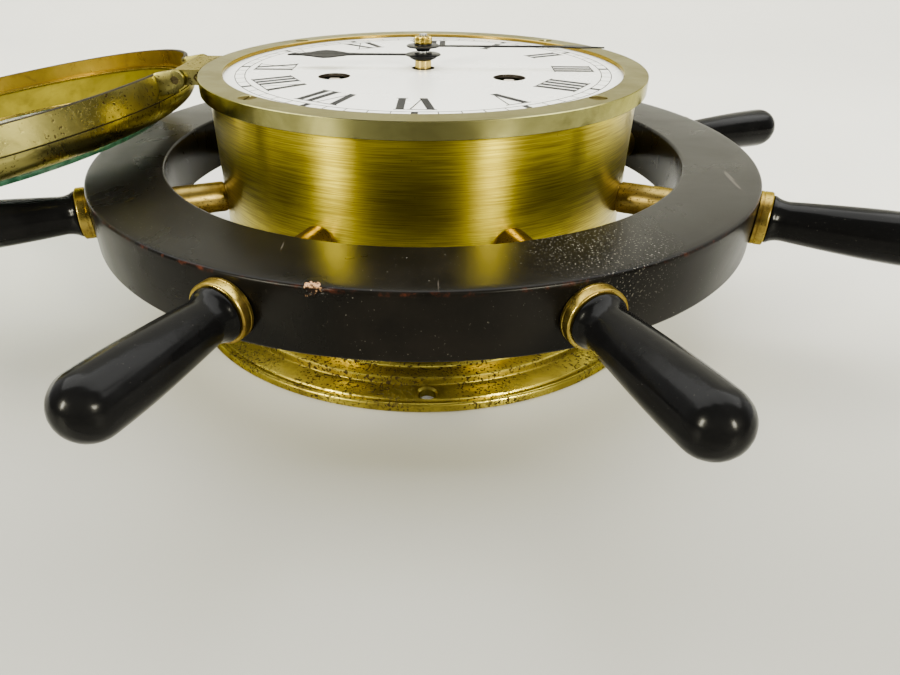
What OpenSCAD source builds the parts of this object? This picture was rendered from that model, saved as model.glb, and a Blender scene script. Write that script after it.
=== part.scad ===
// Ship's deck clock: a brass drum clock with time and ship's bell strike,
// carried on eight brass rods in a turned wooden steering-wheel rim.
// Millimetres. +Z is the clock's axis, towards the dial's front. +Y is towards XII.
// The origin is the centre of the face that the base flange rests on.

/* [Case] */
// Outside diameter of the brass drum
drum_d = 144.7; // [142:0.1:190]
// Wall of the drum
drum_wall = 1.2; // [0.8:0.1:1.4]
// Height of the bezel seat's top face above the resting face
case_h = 82.2; // [82:0.1:110]
// How far the bezel seat stands out past the drum, on the radius
seat_overhang = 2.85; // [2:0.05:5]
// Height of the bezel seat's outer band
seat_band_h = 5; // [4:0.1:7]
// Thickness of the bezel seat's flat top
seat_top_t = 3; // [2.4:0.1:3.6]
// Width of the bezel seat's flat top, on the radius
seat_face_w = 7.9; // [7:0.1:9]
// Direction of the first bezel seat screw, in degrees from +X
seat_screw_az = 47; // [40:1:50]

/* [Base flange] */
// How far the base flange stands out past the drum, on the radius
base_overhang = 16.65; // [14:0.05:24]
// Height of the flange's rim
base_rim_h = 3; // [2.4:0.1:5]
// Thickness of the back cover
cover_t = 1.2; // [0.8:0.1:1.6]
// Height of the raised land round the drum
base_land_h = 5.6; // [5:0.1:9]
// Width of the raised land, on the radius
base_land_w = 6.6; // [5:0.1:7]
// Number of mounting holes
base_holes = 3; // [3:1:6]
// Diameter of a mounting hole
base_hole_d = 5; // [3:0.1:6]
// Distance of the mounting holes in from the rim
base_hole_in = 6; // [5:0.1:7]
// Direction of the first mounting hole, in degrees from +X
base_hole_az = -87; // [-120:1:-60]

/* [Steering wheel] */
// Outside diameter of the wooden rim
rim_d = 229.6; // [225:0.1:290]
// Width of the wooden rim, on the radius
rim_w = 24.4; // [14:0.1:26]
// Thickness of the wooden rim
rim_t = 19.3; // [16:0.1:26]
// Height of the rim's mid-plane above the resting face
rim_z = 45.6; // [40:0.1:50]
// Radius of the rim's softened edges
rim_edge_r = 1.2; // [0.5:0.1:3]
// Number of spokes and handles
spokes = 8; // [6:1:10]
// How much lower the two rods beside the hinge sit
spoke_drop = 1.6; // [0:0.1:2]
// Diameter of a brass spoke rod
spoke_d = 10.2; // [8:0.1:13]
// Diameter of the threaded tenon that holds a handle
tenon_d = 6; // [4:0.1:7]
// Length of the tenon inside a handle
tenon_len = 22; // [12:0.5:30]
// Diameter of a brass ferrule
ferrule_d = 16.6; // [13:0.1:18]
// Thickness of a brass ferrule
ferrule_t = 3.8; // [2:0.1:6]
// Length of a handle past its ferrule
handle_len = 46.8; // [40:0.1:80]
// Diameter of a handle at its foot
handle_foot_d = 15; // [12:0.1:16]
// Diameter of a handle at its neck
handle_neck_d = 12.4; // [9:0.1:13]
// Distance of the neck from the foot
handle_neck_z = 5; // [3:0.1:10]
// Diameter of a handle at its bulb
handle_bulb_d = 15.8; // [13:0.1:16]

/* [Bezel] */
// Height of the bezel's band
bezel_band_h = 8.4; // [7.6:0.1:10]
// Height of the bezel from its lip to the outer face of the glass
bezel_h = 19; // [18.2:0.1:24]
// Wall of the bezel's band
bezel_wall = 1.6; // [1.4:0.05:2.5]
// How far the bezel's lip hangs below the bezel seat
lip_drop = 0.8; // [0:0.1:1.5]
// Radius by which the glass is smaller than the bezel's band
glass_inset = 15; // [14:0.1:18]
// Thickness of the glass
glass_t = 2.6; // [2:0.1:3]
// Bevel on the rim of the glass
glass_bevel = 1.2; // [0.4:0.1:1.5]
// Thickness of the sight ring's sheet
sight_t = 0.5; // [0.3:0.1:0.8]

/* [Hinge] */
// Distance of the hinge pin out from the bezel seat's band
hinge_out = 6.9; // [6.5:0.1:9]
// Radius of the hinge knuckle
knuckle_r = 2.9; // [2.6:0.1:3.2]
// Half width of the hinge lug on the case
lug_half_w = 13.1; // [8:0.1:15]
// Thickness of a hinge ear on the bezel
ear_t = 2.2; // [1.6:0.1:4]
// Diameter of the hinge pin
hinge_pin_d = 2.6; // [1.6:0.1:3]
// Clearance between the open bezel and the handles that it comes down to
open_clear = 0.2; // [0.1:0.1:2]

/* [Dial and hands] */
// Depth of the dial below the bezel seat's top
dial_recess = 1.3; // [1:0.1:1.8]
// Thickness of the dial
dial_t = 1; // [0.6:0.1:1.4]
// Diameter of the dial's centre hole
dial_hole_d = 8.1; // [7:0.1:10]
// Diameter of a winding hole
wind_hole_d = 10.6; // [8:0.1:12]
// Length of the hour hand
hour_len = 47; // [35:0.5:50]
// Length of the minute hand
minute_len = 61.5; // [50:0.5:61.5]
// Thickness of the hands
hand_t = 0.5; // [0.4:0.1:0.6]

/* [Movement] */
// Diameter of the two movement plates
plate_d = 126; // [124:0.5:130]
// Thickness of a movement plate
plate_t = 2; // [1.5:0.1:2.4]
// Distance between the movement plates
plate_gap = 24; // [24:0.1:28]
// Space between the front plate and the dial
under_dial = 7.4; // [7.4:0.1:10]
// Module of the barrel teeth
barrel_m = 0.8; // [0.75:0.01:0.82]
// Outside diameter of a mainspring barrel
barrel_d = 51; // [40:0.5:51]
// Outside diameter of the bell
bell_d = 84; // [60:0.5:88]
// Wall of the bell
bell_wall = 1.8; // [1.2:0.1:3]

/* [Fits] */
// Radial clearance of a turning shaft in its hole
run_fit = 0.05; // [0.02:0.01:0.1]
// Clearance of a loose fit between fixed pieces
loose_fit = 0.25; // [0.1:0.05:0.4]
// Clearance between pieces that pass each other
pass_fit = 0.4; // [0.3:0.05:0.6]

/* [Hidden] */
$fn = 96;
fine = 32;

brass = "#b5a04a";
satin_brass = "#c2b04e";
aged_brass = "#8f7a36";
steel = "#b9bcc0";
black_wood = "#1d1b1b";
black = "#202226";
white = "#f1f1ea";

// Case radii and heights
drum_r = drum_d / 2;
drum_ir = drum_r - drum_wall;
seat_r = drum_r + seat_overhang;
opening_r = seat_r - seat_face_w;
seat_under_z = case_h - seat_band_h;
seat_plate_z = case_h - seat_top_t;
drum_foot_z = 0.3;
base_r = drum_r + base_overhang;
base_hole_r = base_r - base_hole_in;
land_r = drum_r + base_land_w;
seat_screw_d = 1.7;
seat_screw_head_d = 5.2;
seat_screw_r = min(seat_r - 5, drum_ir - seat_screw_d / 2 - 0.1);

// Dial and movement heights
dial_z = case_h - dial_recess;
dial_under_z = dial_z - dial_t;
dial_r = opening_r + 1.3;
front_top_z = dial_under_z - under_dial;
front_z = front_top_z - plate_t;
back_top_z = front_z - plate_gap;
back_z = back_top_z - plate_t;

// Case lugs and movement brackets
lug_z = seat_plate_z - 5;
bracket_t = 1.5;
lug_depth = 5;
lug_w = 9;
lug_in_r = drum_ir - lug_depth;
bracket_in_r = plate_d / 2 - 5;
bracket_screw_d = 2.4;
bracket_screw_r = lug_in_r + 2.2;
plate_screw_r = bracket_in_r + 2.6;

// Steering wheel
rim_r = rim_d / 2;
rim_bore_r = rim_r - rim_w;
spoke_az0 = 180 / spokes;
ferrule_r0 = rim_r + 0.05;
handle_r0 = ferrule_r0 + ferrule_t;
spoke_screw_d = 4;

// Bezel, drawn closed in the clock's frame and turned open about the hinge
lip_z = seat_under_z - lip_drop;
band_ir = seat_r + 0.6;
band_r = band_ir + bezel_wall;
ledge_z = case_h + 0.3;
seam_z = lip_z + bezel_band_h;
glass_face_z = lip_z + bezel_h;
glass_in_z = glass_face_z - glass_t;
glass_r = band_r - glass_inset;
glass_seat_h = 0.9;
sight_foot_r = band_ir - 2;
view_r = glass_r - 2.9;

// Hinge
hinge_x = -(seat_r + hinge_out);
hinge_z = case_h - knuckle_r;
ear_in_y = lug_half_w + 0.3;
ear_out_y = ear_in_y + ear_t;
pin_r = hinge_pin_d / 2;

// The open bezel comes down to the two handles nearest the hinge
touch_x = (handle_r0 + handle_len - 0.45 * handle_bulb_d) * cos(spoke_az0) + hinge_x;
touch_h = hinge_z - (rim_z - spoke_drop + handle_bulb_d / 2) - open_clear;
glass_off = glass_face_z - hinge_z;
droop = acos(glass_off / sqrt(touch_x * touch_x + touch_h * touch_h)) - atan2(touch_x, touch_h);
open_angle = 180 + droop;

// Tooth counts
barrel_teeth = 72;
inter_leaves = 12;
inter_teeth = 60;
centre_leaves = 12;
centre_teeth = 80;
third_leaves = 10;
third_teeth = 75;
fourth_leaves = 10;
fourth_teeth = 80;
escape_leaves = 8;
escape_teeth = 15;
cannon_leaves = 12;
minute_teeth = 36;
minute_leaves = 10;
hour_teeth = 40;
pin_teeth = 78;
warning_leaves = 8;
warning_teeth = 70;
fly_leaves = 8;
pin_count = 13;
pin_circle_r = 15.6;

// Modules of the finer wheels
inter_m = 0.6;
centre_m = 0.5;
third_m = 0.4;
fourth_m = 0.35;
cannon_m = 0.625;
hour_m = 0.6;
pin_m = 0.45;
warning_m = 0.4;

// Arbor places, each set out from the one that drives it
function polar(r, a) = [r * cos(a), r * sin(a)];
function pair(m, a, b) = m * (a + b) / 2;
wind_az = -27.5;
wind_dist = 32.4;
going_p = polar(wind_dist, wind_az);
strike_p = polar(wind_dist, 180 - wind_az);
inter_dist = pair(inter_m, inter_teeth, centre_leaves);
inter_link = pair(barrel_m, barrel_teeth, inter_leaves);
inter_swing = acos((inter_dist * inter_dist + wind_dist * wind_dist - inter_link * inter_link)
    / (2 * inter_dist * wind_dist));
inter_p = polar(inter_dist, wind_az + inter_swing);
third_az = 100;
third_p = polar(pair(centre_m, centre_teeth, third_leaves), third_az);
fourth_az = 50;
fourth_p = third_p + polar(pair(third_m, third_teeth, fourth_leaves), fourth_az);
escape_az = 15;
escape_p = fourth_p + polar(pair(fourth_m, fourth_teeth, escape_leaves), escape_az);
lever_az = -10;
lever_dist = 9;
lever_p = escape_p + polar(lever_dist, lever_az);
balance_az = -25;
balance_dist = 11.5;
balance_p = lever_p + polar(balance_dist, balance_az);
minute_p = [0, -pair(cannon_m, cannon_leaves, minute_teeth)];
pin_az = 100;
pin_p = strike_p + polar(inter_link, pin_az);
warning_az = 60;
warning_p = pin_p + polar(pair(pin_m, pin_teeth, warning_leaves), warning_az);
fly_az = 45;
fly_p = warning_p + polar(pair(warning_m, warning_teeth, fly_leaves), fly_az);
hammer_p = [-44.5, 37];

// Direction from one arbor to another, and the phase that sets two gears in mesh
function dir(a, b) = atan2(b[1] - a[1], b[0] - a[0]);
function mesh(theta, na, pa, nb) = theta + 180 + 180 / nb + (theta - pa) * na / nb;
inter_pin_ph = mesh(dir(going_p, inter_p), barrel_teeth, 0, inter_leaves);
centre_pin_ph = mesh(dir(inter_p, [0, 0]), inter_teeth, 0, centre_leaves);
third_pin_ph = mesh(dir([0, 0], third_p), centre_teeth, 0, third_leaves);
fourth_pin_ph = mesh(dir(third_p, fourth_p), third_teeth, 0, fourth_leaves);
escape_pin_ph = mesh(dir(fourth_p, escape_p), fourth_teeth, 0, escape_leaves);
minute_ph = mesh(dir([0, 0], minute_p), cannon_leaves, 0, minute_teeth);
hour_ph = mesh(dir(minute_p, [0, 0]), minute_leaves, 0, hour_teeth);
pin_pin_ph = mesh(dir(strike_p, pin_p), barrel_teeth, 0, inter_leaves);
warning_pin_ph = mesh(dir(pin_p, warning_p), pin_teeth, 0, warning_leaves);
fly_pin_ph = mesh(dir(warning_p, fly_p), warning_teeth, 0, fly_leaves);

// Heights inside the movement, up from the back plate or down from the front plate
going_gear_z = back_top_z + 2;
strike_gear_z = back_top_z + 4.8;
great_t = 1.8;
drum_top_z = front_z - 5.5;
inter_wheel_z = front_z - 4.7;
centre_wheel_z = front_z - 2.3;
wheel_t = 1.2;
third_wheel_z = back_top_z + 13;
fourth_wheel_z = back_top_z + 7.5;
escape_z = back_top_z + 10.5;
escape_t = 0.8;
balance_z = back_top_z + 13.8;
hairspring_z = balance_z + 2.6;
pin_wheel_z = front_z - 4.5;
warning_wheel_z = back_top_z + 15.5;
fly_z = back_top_z + 1.5;
ratchet_z = front_top_z + 0.4;
ratchet_t = 1.5;
cannon_z = front_top_z + 0.8;
minute_z = front_top_z + 1.1;
hour_wheel_z = front_top_z + 3.5;
pillar_az = [10, 70, 170, 270];
pillar_r = plate_d / 2 - 6;
foot_az = [90, 210, 330];
foot_r = 50;
arbor_r = 1;
pivot_r = 0.7;

// Heights of the hands
hour_z = dial_z + 4.1;
minute_hand_z = dial_z + 6.9;
nut_z = dial_z + 7.8;
tip_z = dial_z + 10.9;
cannon_r = 2;
hour_pipe_r = 2.77;
hour_angle = 180;
minute_angle = 0;

// Bell
bell_z = 12;
bell_top_z = back_z - 10;
bell_r = bell_d / 2;
hammer_z = bell_z + 8;
hammer_head_r = 3.5;
hammer_gap = 0.8;

// A gear outline with straight-sided teeth: n teeth of module m, whose half widths at the
// root and the tip are shares of half a tooth's pitch
function tooth_pts(n, m, root_w, tip_w, add, ded) = [for (i = [0:n - 1], k = [0:3])
    let (a = i * 360 / n + [-root_w, -tip_w, tip_w, root_w][k] * 180 / n,
        r = m * n / 2 + (k == 1 || k == 2 ? add : -ded) * m)
    polar(r, a)];

// A gear disc with a bore
module gear(n, m, h, bore) {
    difference() {
        linear_extrude(h) polygon(tooth_pts(n, m, 0.58, 0.2, 0.85, 1.15));
        translate([0, 0, -1]) cylinder(h = h + 2, r = bore);
    }
}

// A wheel crossed out with windows between its arms
module crossed(n, m, h, bore, hub_r, arms = 4) {
    rim_in = m * n / 2 - 1.15 * m - 1.4;
    difference() {
        gear(n, m, h, bore);
        for (i = [0:arms - 1]) rotate(i * 360 / arms) window(rim_in, hub_r, h, arms);
    }
}

// One window of a crossed wheel
module window(outer, inner, h, arms) {
    arm_w = max(1, outer * 0.11);
    translate([0, 0, -1]) linear_extrude(h + 2) intersection() {
        difference() {
            circle(outer);
            circle(inner);
        }
        polygon([
            polar(arm_w / sin(180 / arms), 180 / arms),
            polar(arm_w / sin(180 / arms), 180 / arms) + [2 * outer, 0],
            polar(3 * outer, 180 / arms),
            polar(arm_w / sin(180 / arms), 180 / arms) + polar(2 * outer, 360 / arms)]);
    }
}

// A pinion with short rounded-off leaves
module pinion(n, m, h, ph, bore = 0) {
    rotate(ph) difference() {
        linear_extrude(h) polygon(tooth_pts(n, m, 0.36, 0.2, 0.6, 1.25));
        if (bore > 0) translate([0, 0, -1]) cylinder(h = h + 2, r = bore);
    }
}

// An arbor between the plates, with a pivot in each
module arbor(p, r) {
    translate([p[0], p[1], back_z]) cylinder(h = front_top_z - back_z, r = pivot_r, $fn = fine);
    translate([p[0], p[1], back_top_z + 0.3])
        cylinder(h = plate_gap - 0.6, r = r, $fn = fine);
}

// A flat strip along a spiral
module spiral(r0, r1, turns, t, h, steps = 20) {
    n = turns * steps;
    function at(i, off) = polar(r0 + (r1 - r0) * i / n + off, 360 * i / steps);
    linear_extrude(h) polygon(concat(
        [for (i = [0:n]) at(i, -t / 2)],
        [for (i = [n:-1:0]) at(i, t / 2)]));
}

// A countersunk screw pointing down, its head's top at z = 0
module csk_screw(d, head_d, len, slot) {
    difference() {
        union() {
            translate([0, 0, -head_d / 4]) cylinder(h = head_d / 4, r1 = d / 2, r2 = head_d / 2, $fn = fine);
            translate([0, 0, -len]) cylinder(h = len - head_d / 4 + 0.01, r = d / 2, $fn = fine);
        }
        translate([-head_d, -slot / 2, -0.5]) cube([2 * head_d, slot, 1]);
    }
}

// A cheese-head screw pointing down, with the underside of its head at z = 0
module cheese_screw(d, head_d, head_h, len, slot) {
    difference() {
        union() {
            cylinder(h = head_h, r = head_d / 2, $fn = fine);
            translate([0, 0, -len]) cylinder(h = len + 0.01, r = d / 2, $fn = fine);
        }
        translate([-head_d, -slot / 2, head_h - 0.6]) cube([2 * head_d, slot, 1]);
    }
}

// Places what follows at each seat screw
module at_seat_screws(r) {
    for (i = [0:3]) rotate(seat_screw_az + 90 * i) translate([r, 0, 0]) children();
}

// Places what follows along each spoke, with +X outwards
module at_spokes() {
    for (i = [0:spokes - 1]) let (a = spoke_az0 + 360 * i / spokes)
        rotate(a) translate([0, 0, rim_z - (abs(a - 180) < 180 / spokes + 1 ? spoke_drop : 0)]) children();
}

// Turns the closed bezel open about its hinge
module opened() {
    translate([hinge_x, 0, hinge_z]) rotate([0, -open_angle, 0]) translate([-hinge_x, 0, -hinge_z])
        children();
}

module case_drum() {
    color(satin_brass) difference() {
        translate([0, 0, drum_foot_z]) cylinder(h = seat_plate_z - drum_foot_z, r = drum_r);
        translate([0, 0, -1]) cylinder(h = case_h, r = drum_ir);
        at_spokes() rotate([0, 90, 0]) translate([0, 0, drum_ir - 2])
            cylinder(h = drum_wall + 4, r = spoke_screw_d / 2 + loose_fit / 2, $fn = fine);
    }
}

// Turned flange: beaded rim, flat with the mounting holes, raised land round the drum
module base_flange() {
    land_in = drum_r + 0.05;
    groove = 0.5;
    color(aged_brass) difference() {
        rotate_extrude() polygon([
            [land_in, 0], [base_r - 0.2, 0], [base_r, 0.2],
            [base_r, base_rim_h - 1], [base_r - 0.4, base_rim_h - 0.3], [base_r - 1, base_rim_h],
            [base_r - 1.6, base_rim_h - 0.1], [base_r - 1.9, base_rim_h - groove],
            [base_r - 2.5, base_rim_h - groove], [base_r - 2.8, base_rim_h],
            [land_r + 0.5, base_rim_h], [land_r, base_rim_h + 0.6],
            [land_r, base_land_h - 0.8], [land_r - 0.8, base_land_h],
            [land_in + 1.4, base_land_h], [land_in + 0.6, base_land_h + 0.4], [land_in, base_land_h + 1]]);
        for (i = [0:base_holes - 1]) rotate(base_hole_az + 360 * i / base_holes)
            translate([base_hole_r, 0, 0]) {
                translate([0, 0, -1]) cylinder(h = base_rim_h + 2, r = base_hole_d / 2, $fn = fine);
                translate([0, 0, base_rim_h - 0.6])
                    cylinder(h = 0.61, r1 = base_hole_d / 2, r2 = base_hole_d / 2 + 0.75, $fn = fine);
            }
    }
}

module back_cover() {
    slot_in = 18;
    slot_len = 30;
    color(aged_brass) difference() {
        union() {
            translate([0, 0, drum_foot_z]) cylinder(h = cover_t, r = drum_ir - loose_fit);
            translate([0, 0, drum_foot_z]) difference() {
                cylinder(h = cover_t + 5, r = drum_ir - loose_fit);
                translate([0, 0, -1]) cylinder(h = cover_t + 7, r = drum_ir - loose_fit - 1);
            }
        }
        for (i = [0:11]) rotate(30 * i) translate([slot_in, -2.25, 0]) {
            translate([0, 0, -1]) cube([slot_len, 4.5, 6]);
        }
    }
}

// Four lugs inside the drum's mouth, tapped for the seat screws and the bracket screws
module case_lugs() {
    color(brass) at_seat_screws(0) difference() {
        intersection() {
            translate([lug_in_r, -lug_w / 2, lug_z]) cube([lug_depth + 1, lug_w, seat_plate_z - lug_z]);
            cylinder(h = case_h, r = drum_ir);
        }
        translate([seat_screw_r, 0, lug_z + 2.8]) cylinder(h = 10, r = seat_screw_d / 2, $fn = fine);
        translate([bracket_screw_r, 0, lug_z - 1]) cylinder(h = 3.8, r = bracket_screw_d / 2, $fn = fine);
    }
}

module seat_ring() {
    color(brass) difference() {
        rotate_extrude() polygon([
            [opening_r, case_h - 1.1], [opening_r, case_h - 0.3], [opening_r + 0.3, case_h],
            [seat_r - 0.2, case_h], [seat_r, case_h - 0.2],
            [seat_r, seat_under_z + 0.2], [seat_r - 0.2, seat_under_z],
            [drum_r + 0.1, seat_under_z], [drum_r + 0.1, seat_plate_z],
            [dial_r + 0.3, seat_plate_z], [dial_r + 0.3, case_h - 1.1]]);
        at_seat_screws(seat_screw_r) {
            translate([0, 0, seat_plate_z - 1]) cylinder(h = 5, r = seat_screw_d / 2 + 0.1, $fn = fine);
            translate([0, 0, case_h - seat_screw_head_d / 4 - 0.05]) cylinder(h = seat_screw_head_d / 4 + 0.06,
                r1 = seat_screw_d / 2 + 0.1, r2 = seat_screw_head_d / 2 + 0.15, $fn = fine);
        }
    }
}

module seat_ring_screws() {
    color(aged_brass) at_seat_screws(seat_screw_r) translate([0, 0, case_h - 0.05])
        rotate(35) csk_screw(seat_screw_d, seat_screw_head_d, seat_top_t + 2, 0.7);
}

// Lug on the bezel seat's band, with the knuckle that the hinge pin turns in
module hinge_lug() {
    color(brass) difference() {
        union() {
            translate([hinge_x, -lug_half_w, seat_under_z + 0.1])
                cube([hinge_out + 2, 2 * lug_half_w, hinge_z + knuckle_r - seat_under_z - 0.1]);
            translate([hinge_x, lug_half_w, hinge_z]) rotate([90, 0, 0]) cylinder(h = 2 * lug_half_w, r = knuckle_r);
        }
        translate([0, 0, seat_under_z - 1]) cylinder(h = 12, r = seat_r + 0.01);
        translate([hinge_x, lug_half_w + 1, hinge_z]) rotate([90, 0, 0])
            cylinder(h = 2 * lug_half_w + 2, r = pin_r + run_fit, $fn = fine);
    }
}

// Screw pin through both ears
module hinge_pin() {
    color(aged_brass) opened() translate([hinge_x, 0, hinge_z]) rotate([90, 0, 0]) difference() {
        union() {
            translate([0, 0, -ear_out_y]) cylinder(h = 2 * ear_out_y - 0.7, r = pin_r, $fn = fine);
            translate([0, 0, ear_out_y - 1]) cylinder(h = 0.8, r = pin_r + 0.45, $fn = fine);
        }
        translate([-3, -0.25, ear_out_y - 0.5]) cube([6, 0.5, 1]);
    }
}

module dial() {
    color(white) translate([0, 0, dial_under_z]) difference() {
        cylinder(h = dial_t, r = dial_r);
        translate([0, 0, -1]) cylinder(h = dial_t + 2, r = dial_hole_d / 2);
        for (p = [going_p, strike_p]) translate([p[0], p[1], -1]) cylinder(h = dial_t + 2, r = wind_hole_d / 2);
    }
}

module dial_feet() {
    color(brass) for (a = foot_az) translate(concat(polar(foot_r, a), front_top_z))
        cylinder(h = dial_under_z - front_top_z, r = 1.6, $fn = fine);
}

module movement_brackets() {
    color(steel) at_seat_screws(0) difference() {
        union() {
            translate([bracket_in_r, -4, lug_z - bracket_t])
                cube([drum_ir - 1 - bracket_in_r, 8, bracket_t]);
            translate([bracket_in_r, -4, front_top_z])
                cube([plate_d / 2 - bracket_in_r, 8, lug_z - bracket_t - front_top_z + 0.01]);
        }
        for (r = [plate_screw_r, bracket_screw_r]) translate([r, 0, front_top_z - 1])
            cylinder(h = 8, r = bracket_screw_d / 2 + 0.1, $fn = fine);
    }
}

module bracket_screws() {
    color(steel) at_seat_screws(0) {
        translate([plate_screw_r, 0, lug_z])
            cheese_screw(bracket_screw_d, 4.4, 1.4, lug_z - front_z, 0.6);
        translate([bracket_screw_r, 0, lug_z - bracket_t]) mirror([0, 0, 1])
            cheese_screw(bracket_screw_d, 4.4, 1.4, bracket_t + 2.7, 0.6);
    }
}

module wheel_rim() {
    h = rim_t / 2;
    e = rim_edge_r;
    color(black_wood) difference() {
        translate([0, 0, rim_z]) rotate_extrude() union() {
            translate([rim_bore_r, e - h]) square([rim_w, rim_t - 2 * e]);
            translate([rim_bore_r + e, -h]) square([rim_w - 2 * e, rim_t]);
            for (x = [rim_bore_r + e, rim_r - e], y = [e - h, h - e]) translate([x, y]) circle(e, $fn = fine);
        }
        at_spokes() rotate([0, 90, 0]) translate([0, 0, rim_bore_r - 5])
            cylinder(h = rim_w + 10, r = spoke_d / 2 + 0.02, $fn = 48);
    }
}

module spoke_rods() {
    color(brass) at_spokes() rotate([0, 90, 0]) difference() {
        union() {
            translate([0, 0, drum_r]) cylinder(h = rim_r - drum_r - 0.3, r = spoke_d / 2, $fn = 48);
            translate([0, 0, rim_r - 1]) cylinder(h = ferrule_t + tenon_len + 1, r = tenon_d / 2, $fn = fine);
        }
        translate([0, 0, drum_r - 1]) cylinder(h = 10, r = spoke_screw_d / 2, $fn = fine);
        // Scribed to the round of the drum
        rotate([0, -90, 0]) translate([0, 0, -spoke_d]) cylinder(h = 2 * spoke_d, r = drum_r + 0.02);
    }
}

module spoke_screws() {
    color(steel) at_spokes() rotate([0, -90, 0]) translate([0, 0, -(drum_ir - 0.25)]) 
        cheese_screw(spoke_screw_d, 7, 2.4, 8, 1);
}

module handle_ferrules() {
    color(aged_brass) at_spokes() rotate([0, 90, 0]) translate([0, 0, ferrule_r0]) difference() {
        union() {
            cylinder(h = ferrule_t - 0.3, r = ferrule_d / 2, $fn = 64);
            translate([0, 0, ferrule_t - 0.3])
                cylinder(h = 0.3, r1 = ferrule_d / 2, r2 = ferrule_d / 2 - 0.3, $fn = 64);
        }
        translate([0, 0, -1]) cylinder(h = ferrule_t + 2, r = tenon_d / 2, $fn = fine);
    }
}

// Turned handle: flared foot, neck, long swell and a round bulb end
module wheel_handles() {
    foot = handle_foot_d / 2;
    neck = handle_neck_d / 2;
    bulb = handle_bulb_d / 2;
    swell = handle_len - bulb;
    steps = 12;
    flare = [for (i = [0:6]) let (t = i / 6)
        [neck + (foot - neck) * (1 - t) * (1 - t), handle_neck_z * t]];
    body = [for (i = [1:steps]) let (t = i / steps)
        [neck + (bulb - neck) * sin(90 * t), handle_neck_z + (swell - handle_neck_z) * t]];
    nose = [for (i = [1:9]) let (a = 10 * i) [bulb * cos(a), swell + bulb * sin(a)]];
    color(black) at_spokes() rotate([0, 90, 0]) translate([0, 0, handle_r0]) difference() {
        rotate_extrude($fn = 64) polygon(concat([[0, 0]], flare, body, nose));
        translate([0, 0, -1]) cylinder(h = tenon_len + 1.3, r = tenon_d / 2, $fn = fine);
    }
}

// Section of the bezel: band and lip, seam, domed shoulder, seat for the glass
module bezel_section() {
    top_r = glass_r + 0.8;
    top_z = glass_in_z + glass_seat_h;
    seam_r = band_r - 0.35;
    rise = top_z - seam_z - 0.3;
    in_w = sight_foot_r - view_r;
    in_z = ledge_z + 0.6;
    in_rise = glass_in_z - 1.2 - in_z;
    dome = [for (i = [0:10]) let (a = 9 * i)
        [top_r + (seam_r - top_r) * cos(a), seam_z + 0.3 + rise * sin(a)]];
    under = [for (i = [10:-1:0]) let (a = 9 * i)
        [view_r + in_w * cos(a), in_z + in_rise * sin(a)]];
    polygon(concat(
        [[band_ir, lip_z], [band_r - 0.2, lip_z], [band_r, lip_z + 0.2],
            [band_r, seam_z - 0.2], [seam_r, seam_z - 0.1]],
        dome,
        [[glass_r + 0.1, top_z], [glass_r + 0.1, glass_in_z], [view_r, glass_in_z]],
        under,
        [[sight_foot_r, ledge_z], [band_ir, ledge_z]]));
}

module bezel_ring() {
    slot_z = case_h + pass_fit;
    color(aged_brass) opened() difference() {
        rotate_extrude() bezel_section();
        translate([-band_r - 1, -ear_in_y, lip_z - 1])
            cube([band_r - sight_foot_r + 1.6, 2 * ear_in_y, slot_z - lip_z + 1]);
    }
}

// Two ears let into the band beside the hinge slot
module bezel_hinge_ears() {
    color(aged_brass) opened() difference() {
        for (s = [-1, 1]) translate([0, s * (ear_in_y + ear_t / 2), 0]) {
            translate([hinge_x, ear_t / 2, hinge_z]) rotate([90, 0, 0]) cylinder(h = ear_t, r = 3.2, $fn = 48);
            translate([hinge_x, -ear_t / 2, hinge_z - 3.2])
                cube([hinge_out + 2, ear_t, 7.4]);
        }
        translate([0, 0, lip_z - 5]) cylinder(h = 20, r = band_r + 0.02);
        translate([hinge_x, 30, hinge_z]) rotate([90, 0, 0]) cylinder(h = 60, r = pin_r, $fn = fine);
        translate([hinge_x, -ear_out_y + 1, hinge_z]) rotate([90, 0, 0]) cylinder(h = 3, r = pin_r + 0.6, $fn = fine);
    }
}

// Conical reflector between the lip's ledge and the glass
module sight_ring() {
    foot_z = ledge_z + 0.2;
    top_z = glass_in_z - 0.3;
    color("#8a7a2e") opened() rotate_extrude() polygon([
        [sight_foot_r - sight_t - 0.9, foot_z], [sight_foot_r - 0.9, foot_z],
        [sight_foot_r - 0.9, foot_z + 0.4], [view_r - 0.1, top_z],
        [view_r - 0.1 - sight_t, top_z], [sight_foot_r - 0.9 - sight_t, foot_z + 0.4]]);
}

module bezel_glass() {
    b = glass_bevel;
    color("#cfe6d8", 0.35) opened() {
        translate([0, 0, glass_in_z]) cylinder(h = glass_t - b, r = glass_r);
        translate([0, 0, glass_face_z - b]) cylinder(h = b, r1 = glass_r, r2 = glass_r - b);
    }
}

// Every arbor that has a pivot hole in both plates: place and shaft radius
plate_pivots = [inter_p, third_p, fourth_p, escape_p, lever_p, balance_p, pin_p, warning_p, fly_p];

module plate_holes(h) {
    translate([0, 0, -1]) {
        for (p = plate_pivots) translate(p) cylinder(h = h + 2, r = pivot_r + run_fit, $fn = fine);
        for (p = [going_p, strike_p]) translate(p) cylinder(h = h + 2, r = 2.5 + run_fit, $fn = fine);
        cylinder(h = h + 2, r = 1.25 + run_fit, $fn = fine);
        translate(hammer_p) cylinder(h = h + 2, r = 1.2 + run_fit, $fn = fine);
        for (a = pillar_az) translate(polar(pillar_r, a)) cylinder(h = h + 2, r = 1.5 + 0.05, $fn = fine);
    }
}

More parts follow.
